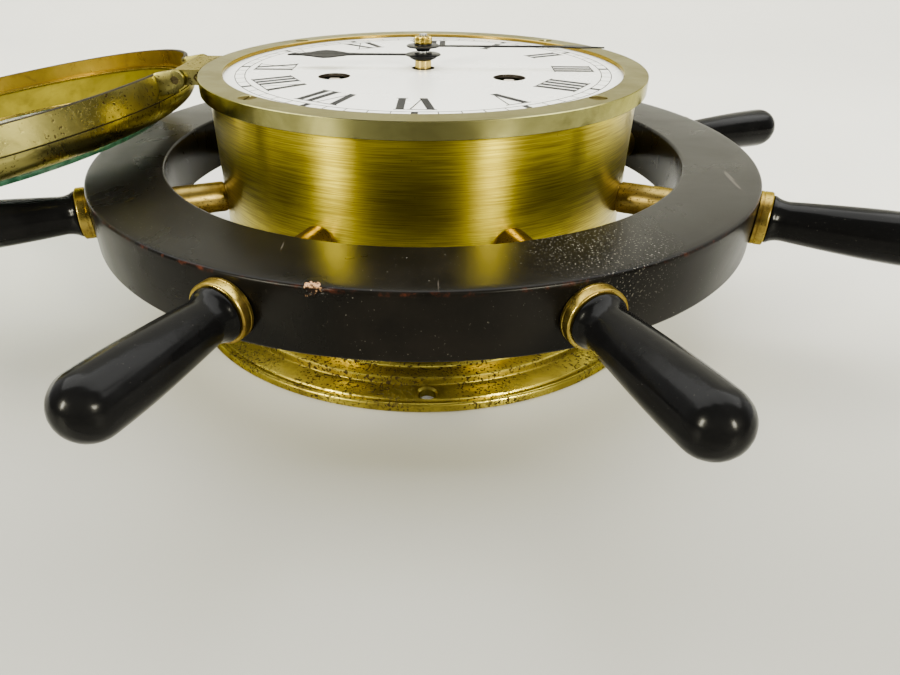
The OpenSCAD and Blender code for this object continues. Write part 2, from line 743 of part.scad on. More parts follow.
module front_plate() {
    color(brass) {
        translate([0, 0, front_z]) difference() {
            cylinder(h = plate_t, r = plate_d / 2);
            plate_holes(plate_t);
            at_seat_screws(plate_screw_r) translate([0, 0, -1])
                cylinder(h = plate_t + 2, r = bracket_screw_d / 2, $fn = fine);
        }
        translate([minute_p[0], minute_p[1], front_top_z - 0.1]) cylinder(h = 6.2, r = 1, $fn = fine);
        translate([minute_p[0], minute_p[1], front_top_z - 0.1]) cylinder(h = 0.9, r = 2, $fn = fine);
        for (p = click_places) translate([p[0], p[1], front_top_z - 0.1]) cylinder(h = 2.6, r = 1, $fn = fine);
    }
}

module back_plate() {
    color(brass) translate([0, 0, back_z]) difference() {
        cylinder(h = plate_t, r = plate_d / 2);
        plate_holes(plate_t);
        translate([0, 0, -1]) cylinder(h = 1.8, r = 4 + 0.02, $fn = fine);
    }
}

module plate_pillars() {
    color(brass) for (a = pillar_az) translate(concat(polar(pillar_r, a), back_top_z)) {
        cylinder(h = plate_gap, r = 3, $fn = fine);
        translate([0, 0, -plate_t - 1.8]) cylinder(h = plate_gap + 2 * plate_t + 3.6, r = 1.5, $fn = fine);
    }
}

module pillar_nuts() {
    color(steel) for (a = pillar_az, z = [front_top_z, back_z - 1.8])
        translate(concat(polar(pillar_r, a), z)) difference() {
            cylinder(h = 1.8, r = 3, $fn = 6);
            translate([0, 0, -1]) cylinder(h = 4, r = 1.5, $fn = fine);
        }
}

// Domed strike bell, mouth towards the back cover
module bell() {
    rise = bell_top_z - bell_z;
    outer = [for (i = [0:12]) let (a = 7.5 * i) [bell_r * cos(a), bell_z + rise * sin(a)]];
    inner = [for (i = [12:-1:0]) let (a = 7.5 * i)
        [(bell_r - bell_wall) * cos(a), bell_z + (rise - bell_wall) * sin(a)]];
    color("#9a8f78") difference() {
        rotate_extrude() polygon(concat(outer, inner));
        cylinder(h = case_h, r = 2.1, $fn = fine);
    }
}

module bell_stand() {
    color(steel) {
        translate([0, 0, bell_top_z]) cylinder(h = back_z + 0.8 - bell_top_z, r = 4, $fn = fine);
        translate([0, 0, bell_top_z - 6]) cylinder(h = 6.5, r = 2.05, $fn = fine);
        translate([0, 0, bell_top_z - bell_wall - 3]) cylinder(h = 2.6, r = 4, $fn = 6);
    }
}

// A mainspring barrel with its great wheel: open round the arbor at both ends
module barrel(p, z) {
    h = drum_top_z - z;
    wall = 1;
    translate([p[0], p[1], z]) difference() {
        union() {
            gear(barrel_teeth, barrel_m, great_t, 2.5 + run_fit);
            cylinder(h = h, r = barrel_d / 2);
        }
        translate([0, 0, great_t]) cylinder(h = h - great_t - wall, r = barrel_d / 2 - wall);
        translate([0, 0, -1]) cylinder(h = h + 2, r = 2.5 + run_fit, $fn = fine);
    }
}

module mainspring(p, z) {
    translate([p[0], p[1], z + great_t + 0.3])
        spiral(7, barrel_d / 2 - 1.6, 9, 0.5, drum_top_z - z - great_t - 1.7);
}

// Winding arbor: journals, a hub for the spring, and a square for the key
module winding_arbor(p, z) {
    translate([p[0], p[1], 0]) {
        translate([0, 0, back_z]) cylinder(h = ratchet_z + ratchet_t + 0.6 - back_z, r = 2.5, $fn = fine);
        translate([0, 0, z + great_t + 0.4]) cylinder(h = drum_top_z - z - great_t - 1.8, r = 5.5, $fn = fine);
        translate([-1.75, -1.75, ratchet_z]) cube([3.5, 3.5, dial_under_z - 0.9 - ratchet_z]);
    }
}

// Saw-toothed ratchet wheel
ratchet_r = 9;
ratchet_teeth = 24;
module ratchet(p) {
    pts = [for (i = [0:ratchet_teeth - 1], k = [0:1])
        polar(ratchet_r - 1.1 * k, (i + (k == 0 ? 0 : 0.12)) * 360 / ratchet_teeth)];
    translate([p[0], p[1], ratchet_z]) difference() {
        linear_extrude(ratchet_t) polygon(pts);
        translate([0, 0, -1]) cylinder(h = 4, r = 2.5, $fn = fine);
    }
}

// Click: a pawl on a stud in the front plate, its nose just clear of the ratchet's teeth
click_dist = 13.5;
click_az = [60, 120];
click_places = [going_p + polar(click_dist, click_az[0]), strike_p + polar(click_dist, click_az[1])];
module click(i, p) {
    c = click_places[i];
    s = i == 0 ? 1 : -1;
    nose = polar(ratchet_r + pass_fit + 0.6, click_az[i] + s * 42) + p;
    d = nose - c;
    len = norm(d);
    translate([c[0], c[1], ratchet_z]) rotate(atan2(d[1], d[0])) difference() {
        union() {
            cylinder(h = ratchet_t, r = 2.4, $fn = fine);
            linear_extrude(ratchet_t) polygon([[0, -1.8], [len - 1.2, -1], [len, -0.3], [len, 0.3], [0, 2.4]]);
        }
        translate([0, 0, -1]) cylinder(h = 4, r = 1 + run_fit, $fn = fine);
    }
}

module going_barrel() color(brass) barrel(going_p, going_gear_z);
module going_mainspring() color("#5b6470") mainspring(going_p, going_gear_z);
module going_winding_arbor() color(steel) winding_arbor(going_p, going_gear_z);
module going_ratchet() color(brass) ratchet(going_p);
module going_click() color(steel) click(0, going_p);
module strike_barrel() color(brass) barrel(strike_p, strike_gear_z);
module strike_mainspring() color("#5b6470") mainspring(strike_p, strike_gear_z);
module strike_winding_arbor() color(steel) winding_arbor(strike_p, strike_gear_z);
module strike_ratchet() color(brass) ratchet(strike_p);
module strike_click() color(steel) click(1, strike_p);

// Flat springs that push the clicks home, each screwed to the front plate
module click_springs() {
    color("#5b6470") for (i = [0, 1]) let (c = click_places[i], s = i == 0 ? 1 : -1)
        translate([c[0], c[1], front_top_z]) {
            translate([s * 6.5, 7, 0]) cylinder(h = 1.8, r = 1.6, $fn = fine);
            translate([min(s * 6.5, s * -3), 6.8, 0.5]) cube([9.5, 0.4, 1.2]);
        }
}

module centre_wheel() {
    color(brass) translate([0, 0, centre_wheel_z]) crossed(centre_teeth, centre_m, wheel_t, 1.25, 4);
}

module centre_arbor() {
    color(steel) {
        translate([0, 0, back_z + 0.9]) cylinder(h = tip_z - back_z - 0.9, r = 1.25, $fn = fine);
        translate([0, 0, inter_wheel_z - 0.5]) pinion(centre_leaves, inter_m, wheel_t + 0.9, centre_pin_ph);
    }
}

// Cannon pinion: drives the motion work and carries the minute hand
module cannon_pinion() {
    color(steel) translate([0, 0, cannon_z]) {
        pinion(cannon_leaves, cannon_m, 2.2, 0, 1.25);
        difference() {
            cylinder(h = minute_hand_z - 1.3 - cannon_z, r = cannon_r, $fn = fine);
            translate([0, 0, -1]) cylinder(h = 30, r = 1.25, $fn = fine);
        }
    }
}

// Outline of a hand, in widths along its length, pointing along +X
module hand_outline(pts) {
    polygon(concat(pts, [for (i = [len(pts) - 1:-1:0]) [pts[i][0], -pts[i][1]]]));
}

module minute_hand() {
    k = minute_len;
    color(black) difference() {
        union() {
            rotate(minute_angle) translate([0, 0, minute_hand_z]) linear_extrude(hand_t) union() {
                circle(5.7);
                hand_outline([[4, 0.9], [k - 18, 0.9], [k - 13, 1.5], [k - 9.5, 2.3], [k - 7, 1.7],
                    [k - 4, 0.7], [k, 0.3]]);
            }
            translate([0, 0, minute_hand_z - 1.3]) cylinder(h = 1.3, r1 = 2.2, r2 = 3, $fn = fine);
            translate([0, 0, minute_hand_z + hand_t]) cylinder(h = 0.4, r = 3, $fn = fine);
        }
        translate([0, 0, minute_hand_z - 3]) cylinder(h = 6, r = 1.25, $fn = fine);
    }
}

module hand_nut() {
    color(brass) translate([0, 0, nut_z]) difference() {
        linear_extrude(2.4) polygon([for (i = [0:59]) polar(3 - 0.18 * (i % 2), 6 * i)]);
        translate([0, 0, -1]) cylinder(h = 5, r = 1.25, $fn = fine);
    }
}

module hour_wheel() {
    color(brass) translate([0, 0, hour_wheel_z]) difference() {
        union() {
            rotate(hour_ph) crossed(hour_teeth, hour_m, 1.2, 2.2, 4.4);
            cylinder(h = hour_z - hour_wheel_z, r = hour_pipe_r);
        }
        translate([0, 0, -1]) cylinder(h = 20, r = cannon_r + 0.08, $fn = fine);
    }
}

module hour_collet() {
    color(brass) translate([0, 0, hour_z - 1.4]) difference() {
        union() {
            cylinder(h = 0.7, r1 = hour_pipe_r + 0.5, r2 = 4.6);
            translate([0, 0, 0.7]) cylinder(h = 0.7, r = 4.6);
        }
        translate([0, 0, -1]) cylinder(h = 4, r = hour_pipe_r);
    }
}

module hour_hand() {
    k = hour_len;
    color(black) difference() {
        union() {
            rotate(hour_angle) translate([0, 0, hour_z]) linear_extrude(hand_t) union() {
                circle(6.1);
                hand_outline([[4, 1.1], [k - 24, 1], [k - 22, 2], [k - 19, 4], [k - 16, 4.7],
                    [k - 13, 4.2], [k - 9, 2.4], [k - 5, 1], [k, 0.5]]);
            }
            translate([0, 0, hour_z + hand_t]) cylinder(h = 0.5, r = 3, $fn = fine);
        }
        translate([0, 0, hour_z - 1]) cylinder(h = 3, r = cannon_r + 0.08, $fn = fine);
    }
}

// Intermediate wheel between the going barrel and the centre arbor
module intermediate_wheel() {
    color(brass) difference() {
        union() {
            arbor_at(inter_p, 1.2, inter_wheel_z + wheel_t + 0.3);
            translate([inter_p[0], inter_p[1], going_gear_z - 0.6])
                pinion(inter_leaves, barrel_m, great_t + 1.2, inter_pin_ph);
            translate([inter_p[0], inter_p[1], inter_wheel_z]) crossed(inter_teeth, inter_m, wheel_t, 0.5, 3.6);
        }
    }
}

// An arbor whose shank stops short of the front plate, under a passing wheel
module arbor_at(p, r, top) {
    translate([p[0], p[1], back_z]) cylinder(h = front_top_z - back_z, r = pivot_r, $fn = fine);
    translate([p[0], p[1], back_top_z + 0.3]) cylinder(h = top - back_top_z - 0.3, r = r, $fn = fine);
}

module third_wheel() {
    color(brass) {
        arbor(third_p, arbor_r);
        translate([third_p[0], third_p[1], centre_wheel_z - 0.3])
            pinion(third_leaves, centre_m, wheel_t + 0.6, third_pin_ph);
        translate([third_p[0], third_p[1], third_wheel_z]) crossed(third_teeth, third_m, 1, 0.5, 3);
    }
}

module fourth_wheel() {
    color(brass) {
        arbor(fourth_p, arbor_r);
        translate([fourth_p[0], fourth_p[1], third_wheel_z - 0.4])
            pinion(fourth_leaves, third_m, 1.8, fourth_pin_ph);
        translate([fourth_p[0], fourth_p[1], fourth_wheel_z]) crossed(fourth_teeth, fourth_m, 0.9, 0.5, 3);
    }
}

// Escape wheel with fifteen forward-leaning teeth
module escape_wheel() {
    pts = [for (i = [0:escape_teeth - 1], k = [0:3])
        polar([4.2, 6.2, 6.2, 4.2][k], (i + [0, 0.32, 0.4, 0.42][k]) * 360 / escape_teeth)];
    color(steel) {
        arbor(escape_p, 0.75);
        translate([escape_p[0], escape_p[1], fourth_wheel_z - 0.4])
            pinion(escape_leaves, fourth_m, 1.7, escape_pin_ph);
        translate([escape_p[0], escape_p[1], escape_z]) linear_extrude(escape_t) polygon(pts);
    }
}

// Pallet lever: two pallets that straddle the escape wheel, and a fork towards the balance
module pallet_lever() {
    to_escape = lever_az + 180;
    color(steel) {
        arbor(lever_p, 0.75);
        translate([lever_p[0], lever_p[1], escape_z]) linear_extrude(escape_t) union() {
            circle(1.5, $fn = fine);
            for (s = [-1, 1]) rotate(to_escape) polygon([
                [-0.4, s * 1.2], [1.2, s * 1.2], [lever_dist - 5.6, s * 4.6], [lever_dist - 6.4, s * 5.1],
                [0, s * 3.4]]);
            rotate(balance_az) polygon([[0, -0.7], [balance_dist - 4, -0.5], [balance_dist - 3.4, -1.2],
                [balance_dist - 2.8, -1.2], [balance_dist - 3.2, 0], [balance_dist - 2.8, 1.2],
                [balance_dist - 3.4, 1.2], [balance_dist - 4, 0.5], [0, 0.7]]);
        }
    }
}

// Balance: staff, roller with its pin, and a two-armed rim
module balance_wheel() {
    color(brass) {
        arbor(balance_p, 0.6);
        translate([balance_p[0], balance_p[1], escape_z + escape_t + 0.4]) cylinder(h = 0.6, r = 2.6, $fn = fine);
        translate([balance_p[0], balance_p[1], escape_z - 0.2] + concat(polar(1.9, balance_az + 180), 0))
            cylinder(h = escape_t + 0.8, r = 0.3, $fn = fine);
        translate([balance_p[0], balance_p[1], balance_z]) {
            difference() {
                cylinder(h = 1.2, r = 9);
                translate([0, 0, -1]) cylinder(h = 4, r = 7.8);
            }
            translate([-8.2, -0.8, 0.2]) cube([16.4, 1.6, 0.8]);
        }
        translate([balance_p[0], balance_p[1], hairspring_z - 0.2]) cylinder(h = 1.2, r = 1.2, $fn = fine);
    }
}

module hairspring() {
    color("#3d4f86") translate([balance_p[0], balance_p[1], hairspring_z]) {
        spiral(1.7, 5.8, 5, 0.14, 0.8);
        translate([5.7, -0.6, -0.2]) cube([1.2, 1.2, front_z - hairspring_z + 0.2]);
    }
}

module minute_wheel() {
    color(brass) translate([minute_p[0], minute_p[1], minute_z]) {
        rotate(minute_ph) crossed(minute_teeth, cannon_m, 1.3, 1 + run_fit, 3.6);
        translate([0, 0, 1.2]) pinion(minute_leaves, hour_m, 3, 0, 1 + run_fit);
    }
}

// Second wheel of the strike train, with pins that lift the hammer
module pin_wheel() {
    color(brass) {
        arbor(pin_p, 1.2);
        translate([pin_p[0], pin_p[1], strike_gear_z - 0.5])
            pinion(inter_leaves, barrel_m, great_t + 1, pin_pin_ph);
        translate([pin_p[0], pin_p[1], pin_wheel_z]) crossed(pin_teeth, pin_m, wheel_t, 0.5, 3.6);
        for (i = [0:pin_count - 1]) translate([pin_p[0], pin_p[1], pin_wheel_z + wheel_t - 0.1]
            + concat(polar(pin_circle_r, 360 * i / pin_count), 0)) cylinder(h = 2, r = 0.5, $fn = fine);
    }
}

module warning_wheel() {
    color(brass) {
        arbor(warning_p, arbor_r);
        translate([warning_p[0], warning_p[1], pin_wheel_z - 0.3])
            pinion(warning_leaves, pin_m, wheel_t + 0.6, warning_pin_ph);
        translate([warning_p[0], warning_p[1], warning_wheel_z]) crossed(warning_teeth, warning_m, 1, 0.5, 3);
    }
}

// Air brake at the end of the strike train
module fly() {
    color(brass) {
        arbor(fly_p, 0.75);
        translate([fly_p[0], fly_p[1], warning_wheel_z - 0.4])
            pinion(fly_leaves, warning_m, 1.8, fly_pin_ph);
        translate([fly_p[0] - 6.5, fly_p[1] - 0.2, fly_z]) cube([13, 0.4, 9]);
    }
}

// Hammer on its own arbor: a tail under the pin wheel, and the head beside the bell's mouth
module strike_hammer() {
    head_p = polar(bell_r + hammer_gap + hammer_head_r, 165);
    d = head_p - hammer_p;
    tail = pin_p - hammer_p;
    tail_len = norm(tail) - pin_circle_r - 0.5 - pass_fit;
    color(steel) {
        translate([hammer_p[0], hammer_p[1], hammer_z]) cylinder(h = front_top_z - hammer_z, r = 1.2, $fn = fine);
        translate([hammer_p[0], hammer_p[1], hammer_z + 1.5]) rotate(atan2(d[1], d[0]))
            translate([0, -1, 0]) cube([norm(d), 2, 2]);
        translate([hammer_p[0], hammer_p[1], hammer_z + 0.5]) cylinder(h = 4, r = 3, $fn = fine);
        translate([head_p[0], head_p[1], hammer_z - 3]) cylinder(h = 11, r = hammer_head_r, $fn = 48);
        translate([hammer_p[0], hammer_p[1], pin_wheel_z + wheel_t + 0.4]) rotate(atan2(tail[1], tail[0]))
            translate([0, -0.8, 0]) cube([tail_len, 1.6, 1.4]);
    }
}

case_drum();
base_flange();
back_cover();
case_lugs();
seat_ring();
seat_ring_screws();
hinge_lug();
hinge_pin();
dial();
dial_feet();
movement_brackets();
bracket_screws();
wheel_rim();
spoke_rods();
spoke_screws();
handle_ferrules();
wheel_handles();
bezel_ring();
bezel_hinge_ears();
sight_ring();
bezel_glass();
front_plate();
back_plate();
plate_pillars();
pillar_nuts();
bell();
bell_stand();
going_barrel();
going_mainspring();
going_winding_arbor();
going_ratchet();
going_click();
strike_barrel();
strike_mainspring();
strike_winding_arbor();
strike_ratchet();
strike_click();
click_springs();
centre_wheel();
centre_arbor();
cannon_pinion();
minute_hand();
hand_nut();
intermediate_wheel();
third_wheel();
fourth_wheel();
escape_wheel();
pallet_lever();
balance_wheel();
hairspring();
minute_wheel();
hour_wheel();
hour_collet();
hour_hand();
pin_wheel();
warning_wheel();
fly();
strike_hammer();
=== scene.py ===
from math import radians, sin, cos, pi, atan2, hypot
import bpy
import bmesh
from mathutils import Vector, Matrix, noise


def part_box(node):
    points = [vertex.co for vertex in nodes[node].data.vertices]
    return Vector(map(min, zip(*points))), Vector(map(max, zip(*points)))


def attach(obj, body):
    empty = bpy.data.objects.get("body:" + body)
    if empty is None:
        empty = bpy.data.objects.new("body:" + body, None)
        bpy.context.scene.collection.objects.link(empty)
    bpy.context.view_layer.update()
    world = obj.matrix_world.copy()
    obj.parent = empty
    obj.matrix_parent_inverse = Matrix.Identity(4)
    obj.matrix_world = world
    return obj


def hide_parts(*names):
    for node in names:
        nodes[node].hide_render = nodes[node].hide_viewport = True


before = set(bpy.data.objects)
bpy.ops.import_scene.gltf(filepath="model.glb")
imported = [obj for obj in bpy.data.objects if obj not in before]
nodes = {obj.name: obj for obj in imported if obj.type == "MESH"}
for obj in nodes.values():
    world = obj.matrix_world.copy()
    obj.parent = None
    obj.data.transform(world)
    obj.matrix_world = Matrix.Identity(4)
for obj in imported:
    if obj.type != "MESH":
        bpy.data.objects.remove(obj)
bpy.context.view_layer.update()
mm = 0.001  # sizes in the dictionaries are in mm unless a note says otherwise
print("frame loaded,", len(nodes), "nodes")


# camera

view = {
    "place": (9.33, -244.13, 126.37),
    "pitch": 32.65,  # degrees down
    "turn": 2.15,  # degrees
    "lens": 26.55,
    "sensor": 36,
    "shiftX": 0.0293,
}

cameraData = bpy.data.cameras.new("Camera")
cameraData.lens = view["lens"]
cameraData.sensor_width = view["sensor"]
cameraData.shift_x = view["shiftX"]
cameraData.clip_start = 0.01
camera = bpy.data.objects.new("Camera", cameraData)
camera.location = Vector(view["place"]) * mm
camera.rotation_euler = (radians(90 - view["pitch"]), 0, radians(view["turn"]))
bpy.context.scene.collection.objects.link(camera)
bpy.context.scene.camera = camera


# material helpers

def startMaterial(name):
    mat = bpy.data.materials.new(name)
    mat.use_nodes = True
    tree = mat.node_tree
    shader = tree.nodes["Principled BSDF"]
    return mat, tree, shader


def addNode(tree, kind, **settings):
    node = tree.nodes.new(kind)
    for key, value in settings.items():
        setattr(node, key, value)
    return node


def plug(tree, source, target):
    tree.links.new(source, target)


def objectVector(tree, scale=(1, 1, 1), turn=(0, 0, 0), shift=(0, 0, 0)):
    coord = addNode(tree, "ShaderNodeTexCoord")
    mapping = addNode(tree, "ShaderNodeMapping")
    mapping.inputs["Scale"].default_value = scale
    mapping.inputs["Rotation"].default_value = turn
    mapping.inputs["Location"].default_value = shift
    plug(tree, coord.outputs["Object"], mapping.inputs["Vector"])
    return mapping.outputs["Vector"]


def noiseValue(tree, vector, scale, detail=3.0, rough=0.55, warp=0.0):
    tex = addNode(tree, "ShaderNodeTexNoise")
    tex.inputs["Scale"].default_value = scale
    tex.inputs["Detail"].default_value = detail
    tex.inputs["Roughness"].default_value = rough
    tex.inputs["Distortion"].default_value = warp
    plug(tree, vector, tex.inputs["Vector"])
    return tex.outputs["Fac"]


def spread(tree, value, low, high, outLow=0.0, outHigh=1.0):
    node = addNode(tree, "ShaderNodeMapRange", interpolation_type="SMOOTHSTEP")
    node.inputs["From Min"].default_value = low
    node.inputs["From Max"].default_value = high
    node.inputs["To Min"].default_value = outLow
    node.inputs["To Max"].default_value = outHigh
    plug(tree, value, node.inputs["Value"])
    return node.outputs["Result"]


def sums(tree, operation, a, b):
    node = addNode(tree, "ShaderNodeMath", operation=operation)
    for i, v in enumerate((a, b)):
        if isinstance(v, (int, float)):
            node.inputs[i].default_value = v
        else:
            plug(tree, v, node.inputs[i])
    return node.outputs[0]


def mixColours(tree, factor, a, b):
    node = addNode(tree, "ShaderNodeMix", data_type="RGBA")
    plug(tree, factor, node.inputs["Factor"])
    for i, c in ((6, a), (7, b)):
        if isinstance(c, tuple):
            node.inputs[i].default_value = (*c, 1)
        else:
            plug(tree, c, node.inputs[i])
    return node.outputs[2]


def bump(tree, shader, height, strength, distance):
    node = addNode(tree, "ShaderNodeBump")
    node.inputs["Strength"].default_value = strength
    node.inputs["Distance"].default_value = distance
    plug(tree, height, node.inputs["Height"])
    plug(tree, node.outputs["Normal"], shader.inputs["Normal"])


def splitVector(tree, vector):
    split = addNode(tree, "ShaderNodeSeparateXYZ")
    plug(tree, vector, split.inputs[0])
    return split.outputs


def objectPlace(tree):  # X, Y and Z on the object, in metres
    return splitVector(tree, addNode(tree, "ShaderNodeTexCoord").outputs["Object"])


def radiusAndHeight(tree):  # distance from the clock's axis, and height, in metres
    place = objectPlace(tree)
    flat = addNode(tree, "ShaderNodeCombineXYZ")
    plug(tree, place["X"], flat.inputs["X"])
    plug(tree, place["Y"], flat.inputs["Y"])
    length = addNode(tree, "ShaderNodeVectorMath", operation="LENGTH")
    plug(tree, flat.outputs[0], length.inputs[0])
    return length.outputs["Value"], place["Z"]


def upFacing(tree, low, high):  # 1 on a face that looks up, 0 on a side or an underside
    normal = addNode(tree, "ShaderNodeNewGeometry").outputs["Normal"]
    return spread(tree, splitVector(tree, normal)["Z"], low, high)


def nearPoint(tree, point, inner, outer):  # 1 at the point, fading to 0 at the outer distance
    coord = addNode(tree, "ShaderNodeTexCoord")
    away = addNode(tree, "ShaderNodeVectorMath", operation="DISTANCE")
    plug(tree, coord.outputs["Object"], away.inputs[0])
    away.inputs[1].default_value = point
    return spread(tree, away.outputs["Value"], inner, outer, 1.0, 0.0)


# materials

def drumBrass():  # brushed round the drum, so each highlight stretches up and down
    mat, tree, shader = startMaterial("DrumBrass")
    streaks = noiseValue(tree, objectVector(tree, (70, 70, 3200)), 1.0, 3, 0.5)
    longStreaks = noiseValue(tree, objectVector(tree, (40, 40, 2300)), 1.0, 3, 0.5)
    blotch = noiseValue(tree, objectVector(tree), 26, 5, 0.6, 0.4)
    speck = noiseValue(tree, objectVector(tree), 1500, 2, 0.5)
    tone = mixColours(tree, spread(tree, streaks, 0.3, 0.7), (0.30, 0.23, 0.012), (0.60, 0.49, 0.026))
    tone = mixColours(tree, spread(tree, blotch, 0.5, 0.75, 0, 0.5), tone, (0.30, 0.22, 0.02))
    tone = mixColours(tree, spread(tree, speck, 0.7, 0.78, 0, 0.6), tone, (0.16, 0.10, 0.03))
    plug(tree, tone, shader.inputs["Base Color"])
    rough = spread(tree, longStreaks, 0.3, 0.7, 0.275, 0.285)
    rough = sums(tree, "ADD", rough, spread(tree, blotch, 0.4, 0.8, 0.0, 0.05))
    plug(tree, rough, shader.inputs["Roughness"])
    shader.inputs["Metallic"].default_value = 1.0
    shader.inputs["Anisotropic"].default_value = 0.85
    shader.inputs["Anisotropic Rotation"].default_value = 0.25
    tangent = addNode(tree, "ShaderNodeTangent", direction_type="RADIAL", axis="Z")
    plug(tree, tangent.outputs[0], shader.inputs["Tangent"])
    return mat


def seatBrass():  # satin turned top, polished band with dull patches
    mat, tree, shader = startMaterial("SeatBrass")
    radius, height = radiusAndHeight(tree)
    rings = noiseValue(tree, objectVector(tree, (14, 14, 900)), 1.0, 3)
    blotch = noiseValue(tree, objectVector(tree), 38, 5, 0.62, 0.6)
    fineSpeck = noiseValue(tree, objectVector(tree), 1900, 2, 0.5)
    topFace = upFacing(tree, 0.7, 0.95)
    band = mixColours(tree, spread(tree, blotch, 0.38, 0.72), (0.33, 0.315, 0.115), (0.15, 0.138, 0.045))
    top = mixColours(tree, spread(tree, blotch, 0.35, 0.7), (0.22, 0.21, 0.125), (0.16, 0.148, 0.08))
    tone = mixColours(tree, topFace, band, top)
    tone = mixColours(tree, spread(tree, radius, 0.0674, 0.0677), (0.20, 0.13, 0.02), tone)  # inner edge
    tone = mixColours(tree, spread(tree, fineSpeck, 0.69, 0.76, 0, 0.7), tone, (0.2, 0.15, 0.06))
    plug(tree, tone, shader.inputs["Base Color"])
    shader.inputs["Metallic"].default_value = 1.0
    shader.inputs["Specular Tint"].default_value = (0.62, 0.60, 0.46, 1)
    rough = spread(tree, blotch, 0.35, 0.75, 0.13, 0.26)
    rough = sums(tree, "ADD", rough, spread(tree, topFace, 0, 1, 0, 0.16))
    plug(tree, rough, shader.inputs["Roughness"])
    bump(tree, shader, rings, 0.08, 0.0001)
    return mat


def agedBrass(name, clean, dull, dark, pits, roughLow, roughHigh, scale=1.0):  # fewer pits as pits rises
    mat, tree, shader = startMaterial(name)
    blotch = noiseValue(tree, objectVector(tree), 34 * scale, 6, 0.65, 0.8)
    cloud = noiseValue(tree, objectVector(tree, shift=(0.3, 0.1, 0.2)), 150 * scale, 4, 0.6, 0.3)
    pit = noiseValue(tree, objectVector(tree), 1100 * scale, 2, 0.5)
    patch = noiseValue(tree, objectVector(tree, shift=(0.7, 0.4, 0)), 60 * scale, 3, 0.6)
    tone = mixColours(tree, spread(tree, blotch, 0.36, 0.66), clean, dull)
    tone = mixColours(tree, spread(tree, cloud, 0.5, 0.75, 0, 0.7), tone, dark)
    pitMask = sums(tree, "MULTIPLY", spread(tree, pit, pits, pits + 0.05), spread(tree, patch, 0.36, 0.55))
    tone = mixColours(tree, pitMask, tone, (0.035, 0.024, 0.010))
    plug(tree, tone, shader.inputs["Base Color"])
    shader.inputs["Metallic"].default_value = 1.0
    shader.inputs["Specular Tint"].default_value = (0.62, 0.56, 0.36, 1)
    rough = spread(tree, blotch, 0.3, 0.7, roughLow, roughHigh)
    rough = sums(tree, "ADD", rough, sums(tree, "MULTIPLY", pitMask, 0.4))
    plug(tree, rough, shader.inputs["Roughness"])
    relief = sums(tree, "SUBTRACT", sums(tree, "MULTIPLY", cloud, 0.35), pitMask)
    bump(tree, shader, relief, 0.25, 0.00012)
    return mat


rimWear = {
    "chip": (-21.0, -112.4, 54.2),  # on the rim's front upper edge
    "chipSize": 2.5,
    "dustyPlace": (47.0, -86.0, 55.3),
}


